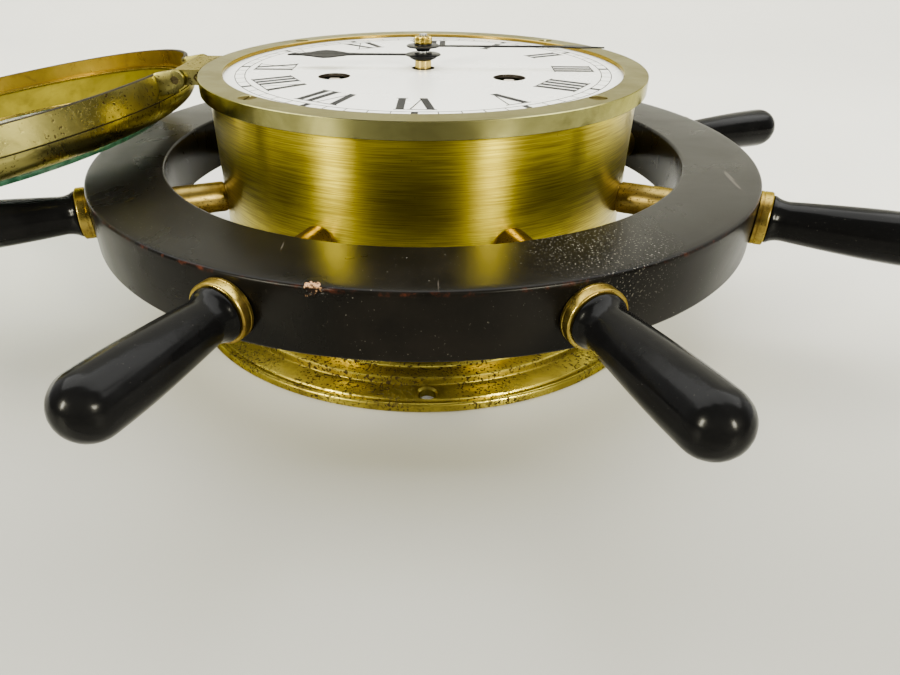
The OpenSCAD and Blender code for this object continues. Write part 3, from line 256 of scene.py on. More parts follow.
def rimLacquer():  # worn satin black on wood: red-brown at the rubbed edge, bare wood in the chip
    mat, tree, shader = startMaterial("RimLacquer")
    radius, height = radiusAndHeight(tree)
    blotch = noiseValue(tree, objectVector(tree), 30, 5, 0.6, 0.5)
    grain = noiseValue(tree, objectVector(tree, (1, 1, 6)), 420, 4, 0.6)
    dust = noiseValue(tree, objectVector(tree), 1700, 2, 0.5)
    dustPatch = noiseValue(tree, objectVector(tree, shift=(0.2, 0.5, 0)), 22, 3)
    scratchA = noiseValue(tree, objectVector(tree, (300, 22, 60), (0, 0, 0.5)), 1.0, 2, 0.5)
    scratchB = noiseValue(tree, objectVector(tree, (20, 420, 60), (0, 0, -0.7)), 1.0, 2, 0.5)
    tone = mixColours(tree, spread(tree, blotch, 0.3, 0.7), (0.0022, 0.002, 0.0017), (0.005, 0.0042, 0.0033))
    edgeNoise = noiseValue(tree, objectVector(tree), 210, 4, 0.7)
    nearEdge = spread(tree, radius, 0.1141, 0.1147)
    nearTop = spread(tree, height, 0.0536, 0.0549)
    rub = sums(tree, "MULTIPLY", nearEdge, nearTop)
    rub = sums(tree, "MULTIPLY", rub, spread(tree, edgeNoise, 0.5, 0.72))
    tone = mixColours(tree, sums(tree, "MULTIPLY", rub, 0.6), tone, (0.09, 0.022, 0.010))
    scratch = sums(tree, "MAXIMUM", spread(tree, scratchA, 0.735, 0.76), spread(tree, scratchB, 0.745, 0.77))
    tone = mixColours(tree, sums(tree, "MULTIPLY", scratch, 0.3), tone, (0.16, 0.14, 0.12))
    dustMask = sums(tree, "MULTIPLY", spread(tree, dust, 0.70, 0.76), spread(tree, dustPatch, 0.45, 0.7))
    dusty = nearPoint(tree, tuple(v * mm for v in rimWear["dustyPlace"]), 0.004, 0.026)
    thickDust = sums(tree, "MULTIPLY", spread(tree, dust, 0.62, 0.68), dusty)
    dustMask = sums(tree, "MAXIMUM", dustMask, thickDust)
    tone = mixColours(tree, sums(tree, "MULTIPLY", dustMask, 0.65), tone, (0.34, 0.32, 0.28))
    chipPoint = tuple(v * mm for v in rimWear["chip"])
    chipNoise = noiseValue(tree, objectVector(tree), 520, 3, 0.7)
    ragged = spread(tree, chipNoise, 0.3, 0.7, 0.3, 1.6)
    chipEdge = sums(tree, "MULTIPLY", nearPoint(tree, chipPoint, 0.0005, 0.0036), ragged)
    chip = spread(tree, chipEdge, 0.42, 0.5)
    splinter = noiseValue(tree, objectVector(tree, (1.0, 1.0, 0.45), (0, 0.5, 0)), 1100, 3, 0.7)
    atTop = sums(tree, "MULTIPLY", spread(tree, height, 0.0543, 0.0550), spread(tree, splinter, 0.44, 0.54))
    raw = sums(tree, "ADD", spread(tree, splinter, 0.56, 0.64, 0, 0.75), atTop)
    wood = mixColours(tree, raw, (0.006, 0.003, 0.002), (0.42, 0.24, 0.13))
    tone = mixColours(tree, chip, tone, wood)
    plug(tree, tone, shader.inputs["Base Color"])
    rough = spread(tree, blotch, 0.3, 0.75, 0.26, 0.36)
    rough = sums(tree, "ADD", rough, sums(tree, "MULTIPLY", chip, 0.5))
    rough = sums(tree, "ADD", rough, sums(tree, "MULTIPLY", dustMask, 0.3))
    plug(tree, rough, shader.inputs["Roughness"])
    shader.inputs["Specular IOR Level"].default_value = 0.07
    relief = sums(tree, "SUBTRACT", sums(tree, "MULTIPLY", grain, 0.25), sums(tree, "MULTIPLY", scratch, 0.5))
    bump(tree, shader, relief, 0.12, 0.00015)
    return mat


def handleLacquer():
    mat, tree, shader = startMaterial("HandleLacquer")
    blotch = noiseValue(tree, objectVector(tree), 45, 4, 0.6)
    ripple = noiseValue(tree, objectVector(tree), 380, 3, 0.5)
    dust = noiseValue(tree, objectVector(tree), 1900, 2, 0.5)
    dustPatch = noiseValue(tree, objectVector(tree, shift=(0.6, 0.1, 0)), 40, 3)
    dustMask = sums(tree, "MULTIPLY", spread(tree, dust, 0.71, 0.76), spread(tree, dustPatch, 0.45, 0.65))
    blotches = spread(tree, blotch, 0.35, 0.7)
    tone = mixColours(tree, blotches, (0.0022, 0.0022, 0.0024), (0.0045, 0.0045, 0.0048))
    tone = mixColours(tree, sums(tree, "MULTIPLY", dustMask, 0.35), tone, (0.2, 0.19, 0.17))
    plug(tree, tone, shader.inputs["Base Color"])
    rough = spread(tree, blotch, 0.35, 0.75, 0.17, 0.25)
    rough = sums(tree, "ADD", rough, sums(tree, "MULTIPLY", dustMask, 0.4))
    plug(tree, rough, shader.inputs["Roughness"])
    shader.inputs["Specular IOR Level"].default_value = 0.07
    bump(tree, shader, ripple, 0.10, 0.0003)
    return mat


def dialEnamel():
    mat, tree, shader = startMaterial("DialEnamel")
    blotch = noiseValue(tree, objectVector(tree), 30, 5, 0.6, 0.4)
    speck = noiseValue(tree, objectVector(tree), 900, 2, 0.5)
    tone = mixColours(tree, spread(tree, blotch, 0.35, 0.75), (0.90, 0.905, 0.88), (0.86, 0.865, 0.835))
    tone = mixColours(tree, spread(tree, speck, 0.75, 0.8, 0, 0.4), tone, (0.5, 0.46, 0.38))
    tone = mixColours(tree, upFacing(tree, 0.6, 0.9), (0.018, 0.014, 0.01), tone)  # painted shade: every face that does not look up (hole walls, edge, underside) is near-black so the winding holes look shadowed
    plug(tree, tone, shader.inputs["Base Color"])
    plug(tree, spread(tree, blotch, 0.3, 0.7, 0.2, 0.3), shader.inputs["Roughness"])
    bump(tree, shader, blotch, 0.03, 0.0004)
    return mat


def blackPaint(name, low, high, roughLow, roughHigh, grainScale, gloss):
    mat, tree, shader = startMaterial(name)
    blotch = noiseValue(tree, objectVector(tree), 140, 4, 0.6)
    grain = noiseValue(tree, objectVector(tree), grainScale, 3, 0.6)
    tone = mixColours(tree, spread(tree, blotch, 0.35, 0.7), low, high)
    plug(tree, tone, shader.inputs["Base Color"])
    plug(tree, spread(tree, blotch, 0.3, 0.7, roughLow, roughHigh), shader.inputs["Roughness"])
    shader.inputs["Specular IOR Level"].default_value = gloss
    bump(tree, shader, grain, 0.1, 0.00005)
    return mat


def steelMetal(name, low, high, roughLow, roughHigh):
    mat, tree, shader = startMaterial(name)
    blotch = noiseValue(tree, objectVector(tree), 120, 4, 0.6, 0.4)
    lines = noiseValue(tree, objectVector(tree, (60, 60, 2500)), 1.0, 3)
    tone = mixColours(tree, spread(tree, blotch, 0.35, 0.7), low, high)
    plug(tree, tone, shader.inputs["Base Color"])
    shader.inputs["Metallic"].default_value = 1.0
    plug(tree, spread(tree, blotch, 0.3, 0.7, roughLow, roughHigh), shader.inputs["Roughness"])
    bump(tree, shader, lines, 0.1, 0.00006)
    return mat


def clearGlass():
    mat, tree, shader = startMaterial("BezelGlass")
    smear = noiseValue(tree, objectVector(tree), 40, 4, 0.6, 0.6)
    tone = mixColours(tree, spread(tree, smear, 0.3, 0.7), (0.93, 0.97, 0.95), (0.90, 0.95, 0.92))
    plug(tree, tone, shader.inputs["Base Color"])
    plug(tree, spread(tree, smear, 0.45, 0.8, 0.0, 0.05), shader.inputs["Roughness"])
    shader.inputs["Transmission Weight"].default_value = 1.0
    shader.inputs["IOR"].default_value = 1.5
    return mat


def glassEdge():
    mat, tree, shader = startMaterial("GlassEdge")
    smear = noiseValue(tree, objectVector(tree), 300, 3, 0.6)
    tone = mixColours(tree, spread(tree, smear, 0.3, 0.7), (0.02, 0.085, 0.048), (0.06, 0.18, 0.11))
    plug(tree, tone, shader.inputs["Base Color"])
    plug(tree, spread(tree, smear, 0.4, 0.8, 0.12, 0.25), shader.inputs["Roughness"])
    shader.inputs["Transmission Weight"].default_value = 0.15
    shader.inputs["IOR"].default_value = 1.5
    return mat


# for each brass: its clean, dull and dark colours, where pits begin, roughness from and to, pattern scale
brassFinishes = {
    "rail": ("HandFittings", (0.46, 0.36, 0.08), (0.34, 0.25, 0.05), (0.15, 0.10, 0.025),
        0.66, 0.2, 0.34, 4.0),
    "flange": ("FlangeBrass", (0.38, 0.31, 0.042), (0.21, 0.165, 0.022), (0.07, 0.048, 0.012),
        0.54, 0.24, 0.38),
    "bezel": ("BezelBrass", (0.34, 0.31, 0.10), (0.19, 0.165, 0.045), (0.07, 0.058, 0.02),
        0.60, 0.24, 0.38),
    "hinge": ("HingeBrass", (0.26, 0.235, 0.085), (0.15, 0.13, 0.04), (0.06, 0.05, 0.02),
        0.58, 0.28, 0.42),
    "bezelInside": ("BezelInside", (0.42, 0.30, 0.03), (0.30, 0.21, 0.022), (0.15, 0.10, 0.015),
        0.70, 0.24, 0.4),
    "sight": ("SightRingBrass", (0.13, 0.105, 0.010), (0.10, 0.08, 0.008), (0.07, 0.055, 0.007),
        0.74, 0.42, 0.55),
    "ferrule": ("FerruleBrass", (0.40, 0.30, 0.06), (0.22, 0.145, 0.03), (0.08, 0.045, 0.015),
        0.62, 0.24, 0.38, 2.0),
    "spoke": ("SpokeBrass", (0.25, 0.18, 0.045), (0.15, 0.105, 0.026), (0.06, 0.04, 0.013),
        0.60, 0.28, 0.42, 1.5),
    "fitting": ("FittingBrass", (0.60, 0.45, 0.12), (0.46, 0.33, 0.08), (0.26, 0.18, 0.05),
        0.68, 0.18, 0.3, 2.5),
    "movement": ("MovementBrass", (0.62, 0.47, 0.16), (0.52, 0.38, 0.12), (0.40, 0.28, 0.08),
        0.75, 0.2, 0.32, 1.5),
    "screw": ("ScrewBrass", (0.085, 0.07, 0.034), (0.055, 0.044, 0.02), (0.02, 0.015, 0.008),
        0.6, 0.35, 0.5, 3.0),
    "bell": ("BellMetal", (0.50, 0.45, 0.32), (0.42, 0.37, 0.26), (0.30, 0.26, 0.17),
        0.75, 0.22, 0.34),
}

finishes = {key: agedBrass(*values) for key, values in brassFinishes.items()}
finishes.update({
    "drum": drumBrass(),
    "seat": seatBrass(),
    "rim": rimLacquer(),
    "handle": handleLacquer(),
    "dial": dialEnamel(),
    # near-black for the bezel's lip faces and seam groove
    "seamBlack": blackPaint("SeamBlack", (0.010, 0.008, 0.004), (0.03, 0.024, 0.012), 0.6, 0.75, 1500, 0.1),
    "ink": blackPaint("NumeralInk", (0.006, 0.006, 0.007), (0.014, 0.014, 0.016), 0.5, 0.65, 2500, 0.1),
    "hand": blackPaint("HandBlack", (0.0025, 0.0025, 0.003), (0.006, 0.006, 0.007), 0.3, 0.45, 1800, 0.08),
    "steelBright": steelMetal("FiledSteel", (0.80, 0.72, 0.64), (0.62, 0.55, 0.48), 0.35, 0.5),
    "steel": steelMetal("GroundSteel", (0.55, 0.55, 0.56), (0.42, 0.42, 0.43), 0.22, 0.36),
    "spring": steelMetal("SpringSteel", (0.14, 0.17, 0.26), (0.20, 0.22, 0.28), 0.24, 0.36),
    "glass": clearGlass(),
    "glassEdge": glassEdge(),
})
print("materials made,", len(finishes))


# mesh helpers

def spinOutline(bm, outline, axis, steps, closed=True):  # a turned shape
    verts = [bm.verts.new(p) for p in outline]
    edges = [bm.edges.new((verts[i], verts[i + 1])) for i in range(len(verts) - 1)]
    if closed:
        edges.append(bm.edges.new((verts[-1], verts[0])))
    bmesh.ops.spin(bm, geom=verts + edges, cent=(0, 0, 0), axis=axis, angle=2 * pi, steps=steps,
                   use_merge=True)
    bmesh.ops.remove_doubles(bm, verts=bm.verts, dist=1e-6)
    bmesh.ops.recalc_face_normals(bm, faces=bm.faces)


def roundCorners(outline, corners, segments=4):  # outline points, with an arc in place of each named corner
    out = []
    for i, p in enumerate(outline):
        size = corners.get(i, 0)
        if not size:
            out.append(Vector(p))
            continue
        here = Vector(p)
        back = (Vector(outline[i - 1]) - here).normalized() * size
        ahead = (Vector(outline[(i + 1) % len(outline)]) - here).normalized() * size
        for k in range(segments + 1):
            t = k / segments
            out.append((here + back) * (1 - t) ** 2 + here * 2 * t * (1 - t) + (here + ahead) * t ** 2)
    return out


def newVerts(extruded):
    return [g for g in extruded["geom"] if isinstance(g, bmesh.types.BMVert)]


def upright(points):  # (radius, height) pairs in mm as points in the XZ plane, in metres
    return [Vector((r * mm, 0, z * mm)) for r, z in points]


def addPiece(bm, name, body, materials, replaces=(), sharp=32):  # sharp is in degrees
    mesh = bpy.data.meshes.new(name)
    bm.to_mesh(mesh)
    bm.free()
    for mat in materials:
        mesh.materials.append(mat)
    mesh.shade_smooth()
    mesh.set_sharp_from_angle(angle=radians(sharp))
    piece = bpy.data.objects.new(name, mesh)
    bpy.context.scene.collection.objects.link(piece)
    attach(piece, body)
    if replaces:
        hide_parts(*replaces)


def appendTurned(bm, part, matrix):  # adds a copy of one bmesh to another, moved by the matrix
    mesh = bpy.data.meshes.new("part")
    part.to_mesh(mesh)
    mesh.transform(matrix)
    bm.from_mesh(mesh)
    bpy.data.meshes.remove(mesh)


def cutWith(bm, cutter):  # takes the cutter's shape out of the bmesh
    objects = []
    for source in (bm, cutter):
        mesh = bpy.data.meshes.new("cut")
        source.to_mesh(mesh)
        item = bpy.data.objects.new("cut", mesh)
        bpy.context.scene.collection.objects.link(item)
        objects.append(item)
    mod = objects[0].modifiers.new("Cut", "BOOLEAN")
    mod.operation = "DIFFERENCE"
    mod.solver = "EXACT"
    mod.object = objects[1]
    result = objects[0].evaluated_get(bpy.context.evaluated_depsgraph_get())
    done = bpy.data.meshes.new_from_object(result)
    bm.clear()
    bm.from_mesh(done)
    for item in objects:
        bpy.data.meshes.remove(item.data)
    bpy.data.meshes.remove(done)
    cutter.free()


def softenEdges(bm, edges, size):
    bmesh.ops.bevel(bm, geom=edges, offset=size, segments=2, profile=0.5, affect="EDGES", material=-1)


def rodAlong(bm, start, end, radius):
    start, end = Vector(start), Vector(end)
    part = bmesh.new()
    length = (end - start).length
    bmesh.ops.create_cone(part, cap_ends=True, segments=40, radius1=radius, radius2=radius, depth=length)
    turn = (end - start).to_track_quat("Z", "Y").to_matrix().to_4x4()
    appendTurned(bm, part, Matrix.Translation((start + end) / 2) @ turn)
    part.free()


def boxBetween(bm, low, high, edge=0.0):
    part = bmesh.new()
    bmesh.ops.create_cube(part, size=1)
    low, high = Vector(low), Vector(high)
    bmesh.ops.scale(part, vec=high - low, verts=part.verts)
    if edge:
        softenEdges(part, part.edges[:], edge)
    appendTurned(bm, part, Matrix.Translation((low + high) / 2))
    part.free()


caseBody = "clock_case"
spokeTurns = [radians(22.5 + 45 * i) for i in range(8)]
# each rod's height from the rim's middle: the two beside the hinge sit lower
rodDrops = [0.0, 0.0, 0.0, -1.6, -1.6, -0.25, 0.0, 0.0]
rimLow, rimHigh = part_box("wheel_rim")
wheelZ = (rimLow.z + rimHigh.z) / 2


# wooden rim

rimSize = {
    "outer": rimHigh.x,  # metres
    "inner": 0.0904,
    "edge": 0.0011,
    "steps": 320,
}


def wheelRim():
    bm = bmesh.new()
    low, high = rimLow.z, rimHigh.z
    inner, outer = rimSize["inner"], rimSize["outer"]
    outline = [(inner, low), (outer, low)]
    outline += [(outer, high - down) for down in (0.008, 0.005, 0.0032, 0)]  # loops keep the side smooth
    outline += [(outer - 0.003, high), (outer - 0.005, high), (inner, high)]
    outline = [Vector((r, 0, z)) for r, z in outline]
    outline = roundCorners(outline, {i: rimSize["edge"] for i in (0, 1, 5, 8)}, 4)
    spinOutline(bm, outline, (0, 0, 1), rimSize["steps"])
    cutter = bmesh.new()  # the splintered chip in the front edge
    bmesh.ops.create_icosphere(cutter, subdivisions=4, radius=rimWear["chipSize"] * mm)
    for v in cutter.verts:
        rough = noise.noise(v.co * 900) * 0.35 + noise.noise(v.co * 2600) * 0.18
        v.co *= 1 + rough
    bmesh.ops.scale(cutter, vec=(1.35, 0.5, 0.95), verts=cutter.verts)
    middle = Vector(rimWear["chip"]) * mm + Vector((0, -0.0012, 0.0006))
    bmesh.ops.translate(cutter, vec=middle, verts=cutter.verts)
    cutWith(bm, cutter)
    addPiece(bm, "WheelRim", caseBody, [finishes["rim"]], ["wheel_rim"])


wheelRim()


# handles, ferrules and spokes

handleShape = {
    "start": 118.65,  # from the clock's axis
    "foot": 7.4,
    "neck": 6.15,
    "neckAt": 5.0,
    "bulb": 7.85,
    "length": 46.8,
    "grain": 0.09,
    "lengths": (1, 1, 1, 1, 1, 0.97, 0.99, 1),  # hand-turned, so not quite alike
}


def handleOutline():
    h = handleShape
    neck, neckAt = h["neck"], h["neckAt"]
    points = [(0.0, 0.0), (h["foot"] - 0.4, 0.0), (h["foot"], 0.35), (h["foot"] - 0.1, 0.9)]
    for i in range(1, 8):  # foot down to the neck
        t = i / 7
        points.append((neck + (h["foot"] - 0.15 - neck) * (1 - t) ** 2.2, 0.9 + (neckAt - 0.9) * t))
    swell = h["length"] - h["bulb"]
    for i in range(1, 37):  # neck out to the bulb
        t = i / 36
        points.append((neck + (h["bulb"] - neck) * sin(pi / 2 * t), neckAt + (swell - neckAt) * t))
    for i in range(1, 13):  # round end
        a = radians(7.5 * i)
        points.append((h["bulb"] * cos(a), swell + h["bulb"] * sin(a)))
    points[-1] = (0.0, h["length"])
    return points


def roundTheWheel(part, start=0.0, stretch=(1,) * 8):  # eight copies, one on each rod
    bm = bmesh.new()
    for turn, drop, share in zip(spokeTurns, rodDrops, stretch):
        shorter = Matrix.Translation((start * (1 - share), 0, 0)) @ Matrix.Scale(share, 4, (1, 0, 0))
        place = Matrix.Translation((0, 0, wheelZ + drop * mm)) @ Matrix.Rotation(turn, 4, "Z")
        appendTurned(bm, part, place @ shorter)
    part.free()
    return bm


def wheelHandles():
    part = bmesh.new()
    outline = [Vector(((handleShape["start"] + z) * mm, 0, r * mm)) for r, z in handleOutline()]
    spinOutline(part, outline, (1, 0, 0), 96, closed=False)
    for v in part.verts:  # hand-turned: slight lengthwise ripples in the wood
        away = hypot(v.co.y, v.co.z)
        if away < 0.002:
            continue
        wave = noise.noise(Vector((v.co.x * 25, v.co.y * 700, v.co.z * 700))) - 0.6
        shrink = 1 + handleShape["grain"] * mm * wave / away
        v.co.y *= shrink
        v.co.z *= shrink
    bm = roundTheWheel(part, handleShape["start"] * mm, handleShape["lengths"])
    addPiece(bm, "WheelHandles", caseBody, [finishes["handle"]], ["wheel_handles"])


ferruleShape = {"outer": 8.28, "inner": 3.2, "start": 114.87, "thick": 3.75}


def handleFerrules():
    f = ferruleShape
    s, t = f["start"], f["thick"]
    section = [(f["inner"], s), (f["outer"] - 0.12, s), (f["outer"], s + 0.15), (f["outer"], s + 0.85),
               (f["outer"] - 0.14, s + 0.95), (f["outer"] - 0.14, s + 1.15), (f["outer"], s + 1.25),
               (f["outer"], s + t - 0.35), (f["outer"] - 0.35, s + t), (f["outer"] - 0.7, s + t - 0.06),
               (f["inner"], s + t)]
    outline = [Vector((z * mm, 0, r * mm)) for r, z in section]
    outline = roundCorners(outline, {7: 0.00015, 8: 0.00012}, 2)
    part = bmesh.new()
    spinOutline(part, outline, (1, 0, 0), 72)
    bm = roundTheWheel(part)
    addPiece(bm, "HandleFerrules", caseBody, [finishes["ferrule"]], ["handle_ferrules"])


spokeShape = {"radius": 5.08, "start": 72.4, "end": 90.4}


def spokeRods():  # turned rods between the drum and the rim, narrowed where each meets the drum
    s = spokeShape
    r, start = s["radius"], s["start"]
    low, high = start - 1.1, s["end"] + 1.6
    outline = [(0, low), (r - 0.5, low), (r - 0.5, start + 0.1), (r - 0.12, start + 0.45), (r, start + 0.9),
               (r, high - 0.3), (r - 0.3, high), (0, high)]
    part = bmesh.new()
    spinOutline(part, [Vector((z * mm, 0, r * mm)) for r, z in outline], (1, 0, 0), 72, closed=False)
    bm = roundTheWheel(part)
    addPiece(bm, "SpokeRods", caseBody, [finishes["spoke"]], ["spoke_rods"])


wheelHandles()
handleFerrules()
spokeRods()
print("rim, handles and ferrules made")


# open bezel: turned section, drawn shut and swung open about the hinge

bezelShape = {
    "hinge": (-82.1, 79.3),  # X and Z of the pin
    "openTurn": 189.65,  # degrees
    "lip": 76.4,  # heights of the shut bezel: lip, seam and the glass's face
    "seam": 84.8,
    "face": 95.4,
    "bandIn": 75.8,  # radii of the band, the inner foot, the glass and the opening in front of it
    "band": 77.38,
    "foot": 73.8,
    "glass": 62.4,
    "view": 61.1,
    "glassThick": 3.3,
    "glassBevel": 1.2,
    "dents": 0.10,
}


def swungOpen():
    x, z = (v * mm for v in bezelShape["hinge"])
    there = Matrix.Translation((x, 0, z))
    return there @ Matrix.Rotation(-radians(bezelShape["openTurn"]), 4, "Y") @ there.inverted()


def hingeSlot(bm):  # the gap in the band that the hinge lug passes through
    slot = bmesh.new()
    b = bezelShape
    outside = (-(b["band"] + 1) * mm, -0.0134, (b["lip"] - 1) * mm)
    inside = (-(b["foot"] - 0.6) * mm, 0.0134, 0.0826)
    boxBetween(slot, outside, inside)
    cutWith(bm, slot)


def bezelRing():
    b = bezelShape
    lip, seam, band, glassIn = b["lip"], b["seam"], b["band"], b["face"] - b["glassThick"]
    top, rise = glassIn + 0.9, glassIn + 0.9 - seam - 0.3
    section = [(b["bandIn"], lip + 0.25), (b["bandIn"] + 0.25, lip), (band - 0.35, lip), (band, lip + 0.35),
               (band, seam - 0.25), (band - 0.25, seam - 0.04), (band - 0.9, seam), (band - 0.9, seam + 0.3)]
    small = b["glass"] + 0.8
    for i in range(19):  # outer dome
        a = radians(5 * i)
        section.append((small + (band - 0.33 - small) * cos(a), seam + 0.3 + rise * sin(a)))
    section += [(b["glass"] + 0.32, top - 0.02), (b["glass"] + 0.1, top - 0.25), (b["glass"] + 0.1, glassIn),
                (b["view"], glassIn)]
    for i in range(18, -1, -1):  # and back down inside
        a = radians(5 * i)
        section.append((b["view"] + (b["foot"] - b["view"]) * cos(a), 83.1 + (glassIn - 1.2 - 83.1) * sin(a)))
    section += [(b["foot"], 82.5), (b["bandIn"], 82.5)]
    bm = bmesh.new()
    spinOutline(bm, upright(section), (0, 0, 1), 288)
    for v in bm.verts:  # small knocks in the thin band
        r = hypot(v.co.x, v.co.y)
        if r > 0.0762 and v.co.z < 0.0845:
            inward = 1 - b["dents"] * mm * max(0, noise.noise(v.co * 90)) / r
            v.co.x *= inward
            v.co.y *= inward
    for face in bm.faces:
        mid = face.calc_center_median() / mm
        r = hypot(mid.x, mid.y)
        outer = r > band - 0.9 or face.normal.z > 0.2
        face.material_index = 0 if outer else 1
        if mid.z < lip + 0.3 or (b["bandIn"] + 0.2 < r < band - 0.5 and seam - 0.05 < mid.z < seam + 0.4):
            face.material_index = 2  # near-black on the lip's faces and all through the seam's groove
    hingeSlot(bm)
    bmesh.ops.transform(bm, matrix=swungOpen(), verts=bm.verts)
    looks = [finishes["bezel"], finishes["bezelInside"], finishes["seamBlack"]]
    addPiece(bm, "BezelRing", "bezel", looks, ["bezel_ring"])


def bezelGlass():  # thick bevelled glass, green where the light runs along its edge
    b = bezelShape
    r, face, bevel = b["glass"] - 0.02, b["face"] - 0.01, b["glassBevel"]
    low = face - b["glassThick"] + 0.03
    section = [(0, low), (r - 0.1, low), (r, low + 0.1), (r, face - bevel), (r - bevel, face), (0, face)]
    bm = bmesh.new()
    spinOutline(bm, upright(section), (0, 0, 1), 256, closed=False)
    for f in bm.faces:
        mid = f.calc_center_median() / mm
        f.material_index = 1 if hypot(mid.x, mid.y) > r - bevel and low < mid.z < face - 0.05 else 0
    bmesh.ops.transform(bm, matrix=swungOpen(), verts=bm.verts)
    looks = [finishes["glass"], finishes["glassEdge"]]
    addPiece(bm, "BezelGlass", "bezel", looks, ["bezel_glass"], 20)


def sightRing():  # thin conical reflector with a bright turned lip at each edge
    b = bezelShape
    wide, small, foot, top = b["foot"] - 0.9, b["view"] - 0.1, 82.7, b["face"] - b["glassThick"] - 0.3
    section = [(wide - 0.5, foot), (wide, foot), (wide, foot + 0.4), (small, top), (small - 0.35, top),
               (small - 0.5, top - 0.15), (small - 0.42, top - 0.6), (wide - 0.62, foot + 0.65),
               (wide - 0.8, foot + 0.5), (wide - 0.8, foot + 0.15)]
    bm = bmesh.new()
    spinOutline(bm, upright(section), (0, 0, 1), 256)
    for f in bm.faces:
        mid = f.calc_center_median()
        r = hypot(mid.x, mid.y) / mm
        f.material_index = 1 if r < small + 0.25 or r > wide - 0.75 else 0
    bmesh.ops.transform(bm, matrix=swungOpen(), verts=bm.verts)
    looks = [finishes["sight"], finishes["rail"]]
    addPiece(bm, "SightRing", "bezel", looks, ["sight_ring"])


earShape = {
    "round": 3.15,
    "back": 8.2,
    "rise": 4.15,
    "thick": 2.1,
    "edge": 0.22,
    "from": (-15.55, 13.45),  # where each ear starts, along the pin
    "pin": 1.31,
}


def hingeEars():  # filed ears each side of the lug, with rounded ends and a pin hole
    x, z = bezelShape["hinge"]
    e = earShape
    bm = bmesh.new()
    for start in e["from"]:
        part = bmesh.new()
        outline = [(x + e["back"], z - e["round"])]
        for i in range(13):
            a = radians(270 - 15 * i)
            outline.append((x + e["round"] * cos(a), z + e["round"] * sin(a)))
        outline += [(x, z + e["rise"]), (x + e["back"], z + e["rise"])]
        verts = [part.verts.new((px * mm, 0, pz * mm)) for px, pz in outline]
        face = part.faces.new(verts)
        raised = bmesh.ops.extrude_face_region(part, geom=[face])
        bmesh.ops.translate(part, vec=(0, e["thick"] * mm, 0), verts=newVerts(raised))
        bmesh.ops.recalc_face_normals(part, faces=part.faces)
        rims = [r for r in part.edges if abs(r.verts[0].co.y - r.verts[1].co.y) < 1e-7]
        softenEdges(part, rims, e["edge"] * mm)
        appendTurned(bm, part, Matrix.Translation((0, start * mm, 0)))
        part.free()
    pin = bmesh.new()
    rodAlong(pin, (x * mm, -0.03, z * mm), (x * mm, 0.03, z * mm), e["pin"] * mm)
    cutWith(bm, pin)
    ring = bmesh.new()  # the ears follow the band's round
    wall = (bezelShape["band"] + 0.04) * mm
    bmesh.ops.create_cone(ring, cap_ends=True, segments=128, radius1=wall, radius2=wall, depth=0.03)
    bmesh.ops.translate(ring, vec=(0, 0, 0.082), verts=ring.verts)
    cutWith(bm, ring)
    bmesh.ops.transform(bm, matrix=swungOpen(), verts=bm.verts)
    addPiece(bm, "HingeEars", "bezel", [finishes["bezel"]], ["bezel_hinge_ears"])


bezelRing()
bezelGlass()
sightRing()
hingeEars()
print("bezel made")


# turned base flange with its mounting holes

flangeShape = {
    "inner": 72.42,
    "outer": 89.0,
    "rim": 3.0,
    "land": 78.95,
    "top": 5.6,
    "hole": 2.5,
    "holeAt": 83.0,
    "firstHole": -87,  # degrees from +X
    "holes": 3,
}


def baseFlange():
    f = flangeShape
    r, h, land, top, inner = f["outer"], f["rim"], f["land"], f["top"], f["inner"]
    section = [(inner, 0), (r - 0.3, 0), (r, 0.3)]
    for i in range(7):  # beaded rim
        a = radians(15 * i)
        section.append((r - 0.95 + 0.95 * cos(a), h - 1.0 + 1.0 * sin(a)))
    section += [(r - 1.5, h - 0.06), (r - 1.85, h - 0.45), (r - 2.45, h - 0.5), (r - 2.75, h - 0.1),
                (r - 3.1, h), (land + 0.8, h), (land + 0.25, h + 0.12), (land, h + 0.6), (land, top - 0.9),
                (land - 0.25, top - 0.25), (land - 0.9, top), (inner + 1.9, top), (inner + 1.2, top + 0.12),
                (inner + 0.6, top + 0.45), (inner + 0.1, top + 1.0), (inner, top + 0.9)]
    bm = bmesh.new()
    spinOutline(bm, upright(section), (0, 0, 1), 288)
    drill = bmesh.new()
    hole, sink = f["hole"], f["hole"] + 0.72
    for i in range(f["holes"]):
        a = radians(f["firstHole"] + 360 / f["holes"] * i)
        x, y = f["holeAt"] * cos(a) * mm, f["holeAt"] * sin(a) * mm
        part = bmesh.new()
        outline = [(0, -1), (hole, -1), (hole, h - 0.6), (sink, h), (sink, h + 1), (0, h + 1)]
        spinOutline(part, upright(outline), (0, 0, 1), 48, closed=False)
        appendTurned(drill, part, Matrix.Translation((x, y, 0)))
        part.free()
    cutWith(bm, drill)
    addPiece(bm, "BaseFlange", caseBody, [finishes["flange"]], ["base_flange"])


baseFlange()


# hands, their bosses and the nut

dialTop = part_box("dial")[1].z
handShape = {
    "hourHeight": dialTop / mm + 4.1,
    "minuteHeight": dialTop / mm + 6.9,
    "hourTurn": 180,  # degrees from +X
    "minuteTurn": 0,
    # distance from the middle and half width, out to the tip
    "hour": [(3, 0.62), (12, 0.55), (22, 0.6), (26, 1.0), (29, 2.3), (31.5, 3.3), (34, 3.6), (36.5, 3.0),
             (39, 1.8), (42, 0.9), (44.5, 0.55), (46.9, 0.25)],
    "minute": [(3, 0.75), (20, 0.7), (42, 0.75), (47, 1.1), (50, 1.7), (52.5, 1.9), (55, 1.4), (57.5, 0.75),
               (59.5, 0.45), (61.4, 0.2)],
    "thick": 0.42,
    "droop": 0.28,
    "hourLean": 0.15,  # the spade leans to the front
}


